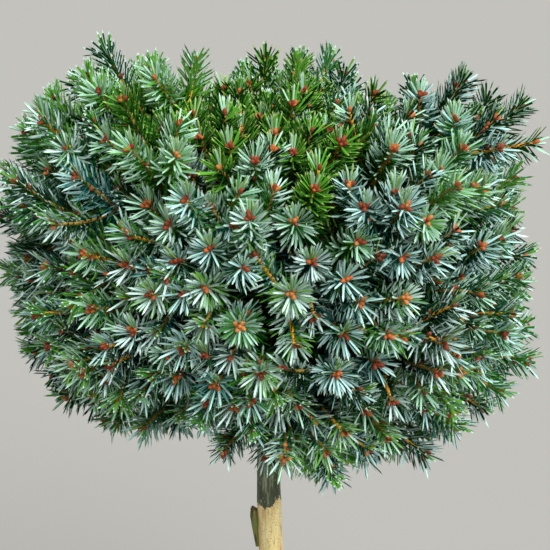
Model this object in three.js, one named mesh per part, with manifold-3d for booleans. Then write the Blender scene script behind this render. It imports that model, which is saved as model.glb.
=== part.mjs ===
// A dwarf Serbian spruce grafted as a standard: a flattened round head of short shoots on a
// clear stem, growing in a plain clay pot. Millimetres, +Z up, the origin at the centre of the
// pot's flat underside. The head is seen from -Y.
import * as THREE from "three";
import { mergeVertices } from "three/addons/utils/BufferGeometryUtils.js";
import Module from "manifold-3d";

const wasm = await Module();
wasm.setup();

// Driving dimensions.
const GAP = 0.3; // between any two pieces that meet
const POT = {
  height: 200,
  footRadius: 76,
  rimRadius: 112,
  rimHeight: 38,
  rimStand: 6, // how far the rim stands out from the body
  rimBulge: 1.5,
  edge: 2, // the soft edges of foot and rim
  wall: 7.5,
  floor: 10,
  holeRadius: 6,
  holeRing: 42,
  holes: 4,
  facets: 32,
};
const SOIL = { depthBelowRim: 22, flatRadius: 26, hollow: 2.5 };
const TRUNK = {
  bends: [
    [0, 0],
    [1.6, 1.2],
    [2.2, 0.4],
    [-0.4, -0.8],
    [-1.4, 0.2],
    [0, 0],
  ],
  unionHeight: 482, // where the stock's pale bark gives way to the scion's
  topHeight: 700,
  flareRadius: 16,
  stockRadius: 9.4,
  unionRadius: 7.6,
  scionRadius: 8.2,
  tipRadius: 3.2,
  flareHeight: 30,
  sides: 10,
  steps: 18,
};
const TONGUE = {
  drop: 6, // from the graft union to its top
  length: 30,
  footRadius: 1.5,
  topRadius: 3.7,
  footAt: -8.2,
  topAt: -10.4,
  depthAt: -1,
};
const CROWN = {
  centreHeight: 655,
  spreadRadius: 160,
  topRadius: 117,
  underRadius: 84,
  topPower: 3.3,
  underPower: 3.2,
  shoots: 204, // spread evenly all round it, but for the lowest ones
  lowest: -0.86,
  shootScatter: 0.16, // in radians
  seed: 4271,
};
const SHOOT = {
  length: 56,
  lengthSpread: 0.24, // shares by which lengths and reaches vary
  reachSpread: 0.08,
  bareRadius: 3.7,
  taper: 0.35,
  leafFrom: 0.28, // shares of its length between which it has needles
  leafTo: 0.94,
  rise: 0.2, // how much it turns up, and turns up more where the head faces up
  riseGain: 0.22,
  riseLow: -0.3,
  sway: 0.18,
  needle: 16,
  needleSpread: 0.2,
  lean: 0.5, // how far a needle leans towards the shoot's tip, in radians
  leanGain: 0.14,
  tuft: 9,
  sides: 3,
  rings: 3,
};
const MASS = {
  spread: 0.5, // how far its outermost shoots fan from its middle, in radians
  seed: 0.8, // shares of the way from the head's centre to its outline
  hub: 0.5,
  stemLength: 16,
  stemRadius: 2.5,
  coreRadius: 38,
  coreSpread: 0.3,
  leanIn: 0.05, // how far a shoot that would leave the mass leans in at each try
  tries: 14,
};
const BOUGH = {
  rootRadius: 3.1,
  tipRadius: 2.5,
  rise: 0.35,
  pull: 0.33,
  stagger: 2.4, // between the heights at which the boughs of a tier leave the stem
  sides: 5,
  steps: 4,
};

// The masses of foliage, tier by tier: where each one points, in degrees, how far it
// reaches, as a share of the plain outline, and how much shorter its outermost shoots are.
// Azimuth 270 faces the viewer.
const TIERS = [
  {
    name: "skirt",
    elevation: -30,
    azimuths: [8, 60, 112, 160, 202, 242, 284, 328],
    reaches: [0.98, 1, 0.99, 1, 0.99, 0.91, 1.03, 1.08],
    edgeDip: 0.12,
    forkHeight: 603,
  },
  {
    name: "middle",
    elevation: 7,
    azimuths: [0, 45, 90, 135, 180, 226, 272, 316],
    reaches: [0.97, 0.98, 0.95, 1, 1, 0.99, 0.98, 1.03],
    edgeDip: 0.12,
    forkHeight: 630,
  },
  {
    name: "upper",
    elevation: 43,
    azimuths: [22, 79, 154, 202, 262, 320],
    reaches: [1.17, 1.02, 1.12, 1.1, 0.97, 1.02],
    edgeDip: 0.16,
    forkHeight: 658,
  },
];
const LEADER = { elevation: 88, azimuth: 60, reach: 0.95, edgeDip: 0.16 };

// Where the head is thinner: the middle of each hollow in degrees, its width in radians, and
// how deep it is, as a share of the outline.
const HOLLOWS = [
  { azimuth: 38, elevation: 52, width: 0.28, depth: 0.32 },
  { azimuth: 112, elevation: 48, width: 0.2, depth: 0.28 },
  { azimuth: 254, elevation: -38, width: 0.28, depth: 0.14 },
];

const AHEAD = new THREE.Vector3(1, 0, 0);
const ASIDE = new THREE.Vector3(0, 1, 0);
const UP = new THREE.Vector3(0, 0, 1);
const CENTRE = new THREE.Vector3(0, 0, CROWN.centreHeight);
const GOLDEN_ANGLE = Math.PI * (3 - Math.sqrt(5));
const LIMB_SAMPLES = 24;
const LIMB_MARGIN = 3; // between a limb and the nearest needle
const WELD = 1e-4; // vertices nearer than this are one
const SOIL_TOP = POT.height - SOIL.depthBelowRim;
const TRUNK_FOOT = SOIL_TOP + GAP;

// Random numbers from 0 to 1, the same on every run.
function seeded(seed) {
  let state = seed >>> 0;
  return () => {
    state = (state + 0x6d2b79f5) >>> 0;
    let t = state;
    t = Math.imul(t ^ (t >>> 15), t | 1);
    t ^= t + Math.imul(t ^ (t >>> 7), t | 61);
    return ((t ^ (t >>> 14)) >>> 0) / 4294967296;
  };
}

function towards(azimuth, elevation) {
  const a = THREE.MathUtils.degToRad(azimuth);
  const e = THREE.MathUtils.degToRad(elevation);
  return new THREE.Vector3(
    Math.cos(a) * Math.cos(e),
    Math.sin(a) * Math.cos(e),
    Math.sin(e),
  );
}

// Two unit vectors square to an axis and to each other.
function acrossOf(axis) {
  const helper = Math.abs(axis.z) < 0.9 ? UP : AHEAD;
  const side = new THREE.Vector3().crossVectors(helper, axis).normalize();
  const over = new THREE.Vector3().crossVectors(axis, side);
  return [side, over];
}

// A unit vector at an angle round the axis that is square to side and over.
function around(side, over, angle) {
  return side
    .clone()
    .multiplyScalar(Math.cos(angle))
    .addScaledVector(over, Math.sin(angle));
}

// A number near 1, for a random number from 0 to 1.
function nearOne(random, spread) {
  return 1 + spread * (random - 0.5);
}

// A geometry with its shared vertices merged.
function welded(geometry) {
  geometry.deleteAttribute("normal");
  geometry.deleteAttribute("uv");
  return mergeVertices(geometry, WELD);
}

function solidOf(geometry) {
  const merged = welded(geometry);
  return new wasm.Manifold(
    new wasm.Mesh({
      numProp: 3,
      vertProperties: merged.attributes.position.array,
      triVerts: new Uint32Array(merged.index.array),
    }),
  );
}

function geometryOf(solid) {
  const { vertProperties, triVerts, numProp, numVert } = solid.getMesh();
  const positions = new Float32Array(numVert * 3);
  for (let i = 0; i < numVert; i++)
    positions.set(vertProperties.subarray(i * numProp, i * numProp + 3), i * 3);
  const geometry = new THREE.BufferGeometry();
  geometry.setAttribute("position", new THREE.BufferAttribute(positions, 3));
  geometry.setIndex(new THREE.BufferAttribute(triVerts, 1));
  geometry.computeVertexNormals();
  return geometry;
}

// The largest body of a solid, without loose scraps.
function wholeOf(solid) {
  return solid
    .decompose()
    .reduce((largest, body) => (body.volume() > largest.volume() ? body : largest));
}

// A closed tube that follows a curve, with its radius a function of the share along it.
// With a clearance it is that much wider, and longer at its far end.
function limbGeometry(curve, radiusAt, sides, steps, clearance = 0) {
  const geometry = new THREE.CylinderGeometry(1, 1, 1, sides, steps);
  const frames = curve.computeFrenetFrames(steps, false);
  const points = curve.getSpacedPoints(steps);
  const position = geometry.attributes.position;
  for (let i = 0; i < position.count; i++) {
    const step = Math.round((position.getY(i) + 0.5) * steps);
    const radius = radiusAt(step / steps) + clearance;
    const vertex = points[step]
      .clone()
      .addScaledVector(frames.normals[step], position.getX(i) * radius)
      .addScaledVector(frames.binormals[step], -position.getZ(i) * radius);
    if (step === steps) vertex.addScaledVector(frames.tangents[step], clearance);
    position.setXYZ(i, vertex.x, vertex.y, vertex.z);
  }
  return geometry;
}

// A limb's solid, the wider one that cuts its neighbours clear of it, and points along it.
function limbOf(name, curve, radiusAt, sides, steps) {
  return {
    name,
    solid: solidOf(limbGeometry(curve, radiusAt, sides, steps)),
    cutter: solidOf(limbGeometry(curve, radiusAt, sides, steps, GAP)),
    samples: curve
      .getSpacedPoints(LIMB_SAMPLES)
      .map((point, i) => ({ point, radius: radiusAt(i / LIMB_SAMPLES) })),
  };
}

function bendFrom(start, startWay, end, endWay, pull) {
  const reach = start.distanceTo(end) * pull;
  return new THREE.CubicBezierCurve3(
    start,
    start.clone().addScaledVector(startWay, reach),
    end.clone().addScaledVector(endWay, -reach),
    end,
  );
}

// The pot, with the holes in its floor.
function potSolid() {
  const { height, footRadius, rimRadius, rimHeight, rimStand, rimBulge } = POT;
  const { edge, wall, floor } = POT;
  const rimFoot = height - rimHeight;
  const profile = [
    [0, 0],
    [footRadius - edge, 0],
    [footRadius, edge],
    [rimRadius - rimStand, rimFoot - edge],
    [rimRadius - edge, rimFoot],
    [rimRadius, rimFoot + edge],
    [rimRadius + rimBulge, height - edge],
    [rimRadius + rimBulge - edge, height],
    [rimRadius - wall, height],
    [innerRadius(height - edge), height - edge],
    [innerRadius(floor), floor],
    [0, floor],
  ].map(([x, z]) => new THREE.Vector2(x, z));
  const pot = solidOf(new THREE.LatheGeometry(profile, POT.facets).rotateX(Math.PI / 2));
  const hole = new THREE.CylinderGeometry(POT.holeRadius, POT.holeRadius, 4 * floor, 12);
  hole.rotateX(Math.PI / 2);
  return Array.from({ length: POT.holes }, (_, i) => {
    const at = around(AHEAD, ASIDE, ((i + 0.5) * 2 * Math.PI) / POT.holes);
    return solidOf(hole.clone().translate(at.x * POT.holeRing, at.y * POT.holeRing, 0));
  }).reduce((left, drill) => left.subtract(drill), pot);
}

// How far the pot's inner wall is from its axis, at a height.
function innerRadius(z) {
  const low = POT.footRadius - POT.wall;
  const high = POT.rimRadius - POT.wall - POT.edge;
  return THREE.MathUtils.mapLinear(z, POT.floor, POT.height - POT.edge, low, high);
}

function soilSolid() {
  const base = POT.floor + GAP;
  const edge = innerRadius(SOIL_TOP) - 2 * GAP;
  const middle = (SOIL.flatRadius + edge) / 2;
  const profile = [
    [0, base],
    [innerRadius(base) - 2 * GAP, base],
    [edge, SOIL_TOP],
    [middle, SOIL_TOP - SOIL.hollow],
    [SOIL.flatRadius, SOIL_TOP],
    [0, SOIL_TOP],
  ].map(([x, z]) => new THREE.Vector2(x, z));
  return solidOf(new THREE.LatheGeometry(profile, POT.facets).rotateX(Math.PI / 2));
}

// The stem, from its flat cut at the soil to its tip in the head.
function trunkCurve() {
  const points = TRUNK.bends.map(
    ([x, y], i) =>
      new THREE.Vector3(
        x,
        y,
        THREE.MathUtils.lerp(TRUNK_FOOT, TRUNK.topHeight, i / (TRUNK.bends.length - 1)),
      ),
  );
  return new THREE.CatmullRomCurve3(points);
}

function trunkRadius(share) {
  const height = THREE.MathUtils.lerp(TRUNK_FOOT, TRUNK.topHeight, share);
  const flare =
    (TRUNK.flareRadius - TRUNK.stockRadius) *
    Math.exp((TRUNK_FOOT - height) / TRUNK.flareHeight);
  if (height < TRUNK.unionHeight)
    return (
      flare +
      THREE.MathUtils.mapLinear(
        height,
        TRUNK_FOOT,
        TRUNK.unionHeight,
        TRUNK.stockRadius,
        TRUNK.unionRadius,
      )
    );
  return THREE.MathUtils.mapLinear(
    height,
    TRUNK.unionHeight,
    TRUNK.topHeight,
    TRUNK.scionRadius,
    TRUNK.tipRadius,
  );
}

// A stub of the stock that was left standing beside the graft union, on the left.
function tongueSolid(trunk) {
  const top = TRUNK.unionHeight - TONGUE.drop;
  const curve = new THREE.LineCurve3(
    new THREE.Vector3(TONGUE.footAt, TONGUE.depthAt, top - TONGUE.length),
    new THREE.Vector3(TONGUE.topAt, TONGUE.depthAt, top),
  );
  const radiusAt = (share) => THREE.MathUtils.lerp(TONGUE.footRadius, TONGUE.topRadius, share);
  return wholeOf(solidOf(limbGeometry(curve, radiusAt, 7, 4)).subtract(trunk.cutter));
}

// The head's plain outline: how far it is from the head's centre, in a direction.
function outline(direction) {
  const above = direction.z >= 0;
  const height = above ? CROWN.topRadius : CROWN.underRadius;
  const power = above ? CROWN.topPower : CROWN.underPower;
  const level = Math.hypot(direction.x, direction.y) / CROWN.spreadRadius;
  const rise = Math.abs(direction.z) / height;
  return (level ** power + rise ** power) ** (-1 / power);
}

// The share of its plain outline that the head keeps in a direction.
function fullness(direction) {
  return HOLLOWS.reduce((share, { azimuth, elevation, width, depth }) => {
    const apart = direction.angleTo(towards(azimuth, elevation)) / width;
    return share - depth * Math.exp(-(apart ** 2));
  }, 1);
}

// The masses of foliage. Each keeps to the points that are nearer its seed than any other's.
function listMasses() {
  const masses = TIERS.flatMap((tier) =>
    tier.azimuths.map((azimuth, i) => ({
      name: `${tier.name}_${i + 1}`,
      direction: towards(azimuth, tier.elevation),
      reach: tier.reaches[i],
      edgeDip: tier.edgeDip,
      fork: tier.forkHeight + ((i * 3) % tier.azimuths.length) * BOUGH.stagger,
    })),
  );
  masses.push({
    name: "leader",
    direction: towards(LEADER.azimuth, LEADER.elevation),
    reach: LEADER.reach,
    edgeDip: LEADER.edgeDip,
  });
  masses.forEach((mass, index) => {
    const far = outline(mass.direction);
    mass.index = index;
    mass.shoots = [];
    mass.seedPoint = CENTRE.clone().addScaledVector(mass.direction, far * MASS.seed);
    mass.hub = CENTRE.clone().addScaledVector(mass.direction, far * MASS.hub);
    mass.entry = mass.fork
      ? mass.hub.clone().addScaledVector(mass.direction, -MASS.stemLength)
      : new THREE.Vector3(0, 0, TRUNK.topHeight);
  });
  return masses;
}

// The planes halfway to a mass's neighbours.
function wallsOf(mass, masses) {
  return masses
    .filter((other) => other !== mass)
    .map((other) => {
      const normal = other.seedPoint.clone().sub(mass.seedPoint).normalize();
      const middle = mass.seedPoint.clone().add(other.seedPoint).divideScalar(2);
      return new THREE.Plane().setFromNormalAndCoplanarPoint(normal, middle);
    });
}

// How far a point is inside a mass's own space.
function depthInside(point, walls) {
  return Math.min(...walls.map((wall) => -wall.distanceToPoint(point))) - GAP / 2;
}

// A bough leaves the stem low and arches to the point where its mass begins.
function boughCurve(mass) {
  const level = new THREE.Vector3(mass.direction.x, mass.direction.y, 0).normalize();
  const start = new THREE.Vector3(0, 0, mass.fork);
  const out = level.addScaledVector(UP, BOUGH.rise).normalize();
  return bendFrom(start, out, mass.entry, mass.direction, BOUGH.pull);
}

// Shares out the head's main shoots: each belongs to the mass whose seed is nearest, and
// leans in towards that mass until it is inside its space.
function shareShoots(masses) {
  const random = seeded(CROWN.seed);
  for (let k = 0; k < CROWN.shoots; k++) {
    const rise = 1 - (2 * k + 1) / CROWN.shoots;
    const level = Math.sqrt(1 - rise * rise);
    const angle = k * GOLDEN_ANGLE + CROWN.shootScatter * (random() - 0.5);
    const height = rise > 0 ? CROWN.topRadius : CROWN.underRadius;
    const direction = around(AHEAD, ASIDE, angle)
      .multiplyScalar(level * CROWN.spreadRadius)
      .addScaledVector(UP, rise * height)
      .normalize();
    const traits = Array.from({ length: 4 }, random);
    if (direction.z < CROWN.lowest) continue;
    const point = CENTRE.clone().addScaledVector(direction, outline(direction) * MASS.seed);
    const nearest = masses.reduce((best, mass) =>
      mass.seedPoint.distanceTo(point) < best.seedPoint.distanceTo(point) ? mass : best,
    );
    for (let tries = 0; tries < MASS.tries; tries++) {
      const shoot = shootAt(direction, nearest, traits);
      const depth = Math.min(
        depthInside(shoot.tip, nearest.walls),
        depthInside(shoot.root, nearest.walls),
      );
      if (depth > SHOOT.bareRadius + GAP) {
        nearest.shoots.push(shoot);
        break;
      }
      direction.lerp(nearest.direction, MASS.leanIn).normalize();
    }
  }
}

// A shoot that ends on the outline of its mass, with its length, lean and reach from traits.
function shootAt(direction, mass, traits) {
  const [side, over] = acrossOf(direction);
  const outwards = Math.min(direction.angleTo(mass.direction) / MASS.spread, 1);
  const share = mass.reach * (1 - mass.edgeDip * outwards ** 2) * fullness(direction);
  const reach = outline(direction) * share * nearOne(traits[0], SHOOT.reachSpread);
  const rise = SHOOT.rise + SHOOT.riseGain * Math.max(direction.z, SHOOT.riseLow);
  const axis = direction
    .clone()
    .addScaledVector(UP, rise)
    .addScaledVector(around(side, over, traits[1] * 2 * Math.PI), SHOOT.sway * traits[2])
    .normalize();
  const length = SHOOT.length * nearOne(traits[3], SHOOT.lengthSpread);
  const tip = CENTRE.clone().addScaledVector(direction, reach);
  return { tip, axis, length, root: tip.clone().addScaledVector(axis, -length) };
}

// A shoot is a slim core with needles raised out of its faces, and a tuft at its end. Its
// bare twig tapers back to the hub of the mass. keeps says whether a needle between two
// points stays clear of everything else.
function sprayGeometry(shoot, hub, random, keeps) {
  const { sides, rings, leafFrom, leafTo } = SHOOT;
  const [side, over] = acrossOf(shoot.axis);
  const turn = random() * Math.PI;
  const ring = (share, shift) =>
    Array.from({ length: sides }, (_, i) =>
      shoot.root
        .clone()
        .addScaledVector(shoot.axis, shoot.length * THREE.MathUtils.lerp(leafFrom, leafTo, share))
        .addScaledVector(
          around(side, over, turn + ((i + shift) * 2 * Math.PI) / sides),
          SHOOT.bareRadius * (1 - SHOOT.taper * share),
        ),
    );
  const positions = [];
  const face = (...corners) => corners.forEach((c) => positions.push(c.x, c.y, c.z));
  const needle = (a, b, c, lean) => {
    const foot = a.clone().add(b).add(c).divideScalar(3);
    const out = foot.clone().sub(shoot.root);
    out.addScaledVector(shoot.axis, -out.dot(shoot.axis)).normalize();
    const way = out.multiplyScalar(Math.cos(lean)).addScaledVector(shoot.axis, Math.sin(lean));
    const reach = SHOOT.needle * nearOne(random(), SHOOT.needleSpread);
    const tip = foot.clone().addScaledVector(way, reach);
    if (!keeps(foot, tip)) return face(a, b, c);
    face(a, b, tip);
    face(b, c, tip);
    face(c, a, tip);
  };
  const end = shoot.tip.clone().addScaledVector(shoot.axis, SHOOT.tuft);
  let low = ring(0, 0);
  low.forEach((corner, i) => face(low[(i + 1) % sides], corner, hub));
  for (let j = 1; j < rings; j++) {
    const high = ring(j / (rings - 1), j / 2);
    const lean = SHOOT.lean + SHOOT.leanGain * (j - 1);
    for (let i = 0; i < sides; i++) {
      const next = (i + 1) % sides;
      needle(low[i], low[next], high[i], lean);
      face(low[next], high[next], high[i]);
    }
    low = high;
  }
  low.forEach((corner, i) =>
    needle(corner, low[(i + 1) % sides], end, SHOOT.lean + SHOOT.leanGain * rings),
  );
  const geometry = new THREE.BufferGeometry();
  geometry.setAttribute("position", new THREE.Float32BufferAttribute(positions, 3));
  return geometry;
}

// The dense heart of a mass: a rough ball, cut off flat where the mass's own space ends.
function coreSolid(mass, random) {
  const lumpy = welded(new THREE.IcosahedronGeometry(1, 0));
  const position = lumpy.attributes.position;
  for (let i = 0; i < position.count; i++) {
    const corner = new THREE.Vector3()
      .fromBufferAttribute(position, i)
      .multiplyScalar(MASS.coreRadius * nearOne(random(), MASS.coreSpread))
      .add(mass.hub);
    position.setXYZ(i, corner.x, corner.y, corner.z);
  }
  return mass.walls.reduce((core, { normal, constant }) => {
    const inwards = normal.clone().negate().toArray();
    return core.trimByPlane(inwards, constant + GAP);
  }, solidOf(lumpy));
}

// One mass: a stem, a core, and the shoots with their needles.
function massSolid(mass, limbs) {
  const random = seeded(CROWN.seed + mass.index * 101);
  const { walls } = mass;
  const clearOfLimbs = (point) =>
    limbs.every(({ samples }) =>
      samples.every((s) => s.point.distanceTo(point) > s.radius + LIMB_MARGIN),
    );
  const keeps = (foot, tip) =>
    depthInside(tip, walls) > 0 &&
    clearOfLimbs(tip) &&
    clearOfLimbs(foot.clone().lerp(tip, 0.5));
  const stem = bendFrom(
    mass.entry.clone().addScaledVector(mass.direction, GAP),
    mass.direction,
    mass.hub,
    mass.direction,
    BOUGH.pull,
  );
  let solid = solidOf(limbGeometry(stem, () => MASS.stemRadius, 6, 2));
  const core = limbs.reduce(
    (left, limb) => left.subtract(limb.cutter),
    coreSolid(mass, random),
  );
  solid = solid.add(wholeOf(core));
  mass.shoots.forEach((shoot) => {
    solid = solid.add(solidOf(sprayGeometry(shoot, mass.hub, random, keeps)));
  });
  return wholeOf(solid);
}

const BARK = { roughness: 0.9, metalness: 0 };
const finishes = {
  clay: new THREE.MeshStandardMaterial({ color: 0xb0694a, roughness: 0.85 }),
  soil: new THREE.MeshStandardMaterial({ color: 0x3b2a20, roughness: 1 }),
  stock: new THREE.MeshStandardMaterial({ color: 0xb79f68, ...BARK }),
  scion: new THREE.MeshStandardMaterial({ color: 0x55564a, ...BARK }),
  foliage: new THREE.MeshStandardMaterial({ color: 0x4f8477, roughness: 0.6 }),
};

const plant = new THREE.Group();

function addPiece(name, solid, finish) {
  const mesh = new THREE.Mesh(geometryOf(solid), finish);
  mesh.name = name;
  plant.add(mesh);
}

addPiece("pot", potSolid(), finishes.clay);
addPiece("soil", soilSolid(), finishes.soil);

const trunk = limbOf("trunk", trunkCurve(), trunkRadius, TRUNK.sides, TRUNK.steps);
addPiece("trunk", trunk.solid, finishes.stock);
addPiece("graft_tongue", tongueSolid(trunk), finishes.stock);

const masses = listMasses();
masses.forEach((mass) => (mass.walls = wallsOf(mass, masses)));
shareShoots(masses);
const boughs = masses
  .filter((mass) => mass.fork)
  .map((mass) =>
    limbOf(
      `bough_${mass.name}`,
      boughCurve(mass),
      (share) => THREE.MathUtils.lerp(BOUGH.rootRadius, BOUGH.tipRadius, share),
      BOUGH.sides,
      BOUGH.steps,
    ),
  );
boughs.forEach((bough) =>
  addPiece(bough.name, wholeOf(bough.solid.subtract(trunk.cutter)), finishes.scion),
);
masses.forEach((mass) =>
  addPiece(`foliage_${mass.name}`, massSolid(mass, [trunk, ...boughs]), finishes.foliage),
);

export default plant;
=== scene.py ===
"""The looks of a dwarf Serbian spruce, grafted as a standard and grown in a plain clay pot.

The head is grown again here by the rule of the part's source, in millimetres, and carried on to
side shoots, needles, buds and bark. Every mesh is made in metres, in the part's own frame.
"""

import logging
import math
from collections.abc import Callable
from dataclasses import dataclass, field
from enum import Enum
from functools import cache

import bpy
import numpy as np
from mathutils import Euler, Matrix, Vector, noise


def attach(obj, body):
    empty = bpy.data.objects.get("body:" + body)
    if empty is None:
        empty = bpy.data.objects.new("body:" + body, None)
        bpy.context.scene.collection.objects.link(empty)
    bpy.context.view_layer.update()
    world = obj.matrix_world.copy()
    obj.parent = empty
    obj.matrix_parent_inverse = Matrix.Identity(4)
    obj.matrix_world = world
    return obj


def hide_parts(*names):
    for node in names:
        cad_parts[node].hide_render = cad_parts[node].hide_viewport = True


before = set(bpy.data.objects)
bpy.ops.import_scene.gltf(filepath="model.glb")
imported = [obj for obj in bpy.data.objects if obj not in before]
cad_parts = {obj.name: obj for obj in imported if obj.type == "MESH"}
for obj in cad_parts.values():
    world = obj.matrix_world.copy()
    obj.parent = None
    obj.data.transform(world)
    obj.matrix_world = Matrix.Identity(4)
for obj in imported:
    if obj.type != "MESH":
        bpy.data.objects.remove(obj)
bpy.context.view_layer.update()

log = logging.getLogger("spruce")

Vec = np.ndarray
# MM is a millimetre in metres. Frames are taken from +Z, but from +X for an axis whose share
# along +Z passes UPRIGHT, or a curve whose middle passes STEEP. GAP is the room between two
# solids, in millimetres. WORD is the largest number that fits a machine word. TUBE_END is how
# far a tube's end bulges, as a share of its radius.
MM = 0.001
UP = np.array([0.0, 0.0, 1.0])
UP_VECTOR = Vector((0, 0, 1))
AHEAD = np.array([1.0, 0.0, 0.0])
ASIDE = np.array([0.0, 1.0, 0.0])
FULL_TURN = 2 * math.pi
GOLDEN_ANGLE = math.pi * (3 - math.sqrt(5))
RIGHT_ANGLE = 90
UPRIGHT = 0.9
STEEP = 0.8
GAP = 0.3
WORD = 0xFFFFFFFF
TUBE_END = 0.6


def colour(code: str) -> tuple[float, float, float]:
    """The linear colour of a six-digit sRGB code."""
    shares = [int(code[i : i + 2], 16) / 255 for i in (0, 2, 4)]
    return tuple(s / 12.92 if s <= 0.04045 else ((s + 0.055) / 1.055) ** 2.4 for s in shares)


def unit(vectors: Vec) -> Vec:
    """Vectors scaled to a length of one."""
    return vectors / np.maximum(np.linalg.norm(vectors, axis=-1, keepdims=True), 1e-12)


def mix(low: float | Vec, high: float | Vec, share: float | Vec) -> float | Vec:
    """The value at a share of the way from low to high."""
    return low + (high - low) * share


def near_one(random: float, spread: float) -> float:
    """A number near 1, for a random number from 0 to 1."""
    return 1 + spread * (random - 0.5)


def towards(azimuth: float, elevation: float) -> Vec:
    """The unit vector at an azimuth and an elevation, in degrees."""
    a, e = math.radians(azimuth), math.radians(elevation)
    return np.array([math.cos(a) * math.cos(e), math.sin(a) * math.cos(e), math.sin(e)])


def across_of(axis: Vec) -> tuple[Vec, Vec]:
    """Two unit vectors square to an axis and to each other."""
    side = unit(np.cross(UP if abs(axis[2]) < UPRIGHT else AHEAD, axis))
    return side, np.cross(axis, side)


def frames_of(tangents: Vec) -> tuple[Vec, Vec]:
    """Two unit vectors square to each of a curve's tangents.

    Args:
        tangents: the unit tangents, one a row.

    Returns:
        The side and over vectors, one a row each.
    """
    middle = tangents[len(tangents) // 2]
    side = unit(np.cross(UP if abs(middle[2]) < STEEP else AHEAD, tangents))
    return side, np.cross(tangents, side)


def around(side: Vec, over: Vec, angle: float) -> Vec:
    """A unit vector at an angle round the axis that is square to side and over."""
    return side * math.cos(angle) + over * math.sin(angle)


def along(controls: Vec, shares: Vec) -> Vec:
    """Points of a Bezier curve.

    Args:
        controls: its control points, one a row.
        shares: where on the curve each point lies, from 0 to 1.

    Returns:
        One point a row.
    """
    layers = np.repeat(controls[None], len(shares), axis=0)
    while layers.shape[1] > 1:
        layers = mix(layers[:, :-1], layers[:, 1:], shares[:, None, None])
    return layers[:, 0]


def ways_along(controls: Vec, shares: Vec) -> Vec:
    """The unit tangents of a Bezier curve at the same places as its points."""
    return unit(along(np.diff(controls, axis=0), shares))


def bend_from(start: Vec, start_way: Vec, end: Vec, end_way: Vec, pull: float) -> Vec:
    """The control points of a cubic curve that leaves and arrives along given ways."""
    reach = float(np.linalg.norm(end - start)) * pull
    return np.array([start, start + start_way * reach, end - end_way * reach, end])


def ring_turns(sides: int) -> Vec:
    """The angles of a ring's points, in radians."""
    return np.arange(sides) * FULL_TURN / sides


def ring_ways(side: Vec, over: Vec, sides: int) -> Vec:
    """The ways from the middle of each of several rings to its points."""
    turn = ring_turns(sides)[None, :, None]
    return side[:, None] * np.cos(turn) + over[:, None] * np.sin(turn)


class SeededRandom:
    """Random numbers from 0 to 1, the same as in the part's source.

    Each number mixes the bits of a state that grows by a fixed step, within one machine word.
    """

    step: int = 0x6D2B79F5

    def __init__(self, seed: int) -> None:
        """Starts the row of numbers at a seed."""
        self.state = seed & WORD

    def __call__(self) -> float:
        """The next number.

        Returns:
            A number from 0 to 1.
        """
        self.state = (self.state + self.step) & WORD
        t = self.state
        t = (t ^ (t >> 15)) * (t | 1) & WORD
        t ^= (t + (t ^ (t >> 7)) * (t | 61)) & WORD
        return (t ^ (t >> 14)) / (WORD + 1)


@dataclass(frozen=True)
class HeadSizes:
    """The driving sizes of the head, in millimetres and radians.

    The plain outline is round, and the blunter the higher its powers are. No shoot ends below
    lowest, a height seen from the centre. Masses part from each other at seed_share of the
    outline, and fan out from hub_share of it. Shoots rise by rise, and the more by rise_gain the
    higher they stand. A shoot that would leave its mass leans in to it, over a number of tries.
    """

    centre_height: float = 655
    spread_radius: float = 160
    top_radius: float = 117
    under_radius: float = 84
    top_power: float = 3.3
    under_power: float = 3.2
    shoots: int = 204
    lowest: float = -0.86
    shoot_scatter: float = 0.16
    seed: int = 4271
    shoot_length: float = 56
    length_spread: float = 0.24
    reach_spread: float = 0.08
    bare_radius: float = 3.7
    rise: float = 0.2
    rise_gain: float = 0.22
    rise_low: float = -0.3
    sway: float = 0.18
    mass_spread: float = 0.5
    seed_share: float = 0.8
    hub_share: float = 0.5
    stem_length: float = 16
    lean_in: float = 0.05
    tries: int = 14


@dataclass(frozen=True)
class BoughSizes:
    """The sizes of the boughs, in millimetres.

    The forks of a tier climb the stem in places, each a stagger above the one before. The forks
    of two masses side by side are stagger_step places apart.
    """

    root_radius: float = 3.1
    tip_radius: float = 2.5
    hub_radius: float = 2.0
    rise: float = 0.35
    pull: float = 0.33
    stagger: float = 2.4
    stagger_step: int = 3
    sides: int = 10
    rings: int = 22
    hub_rings: int = 4


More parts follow.
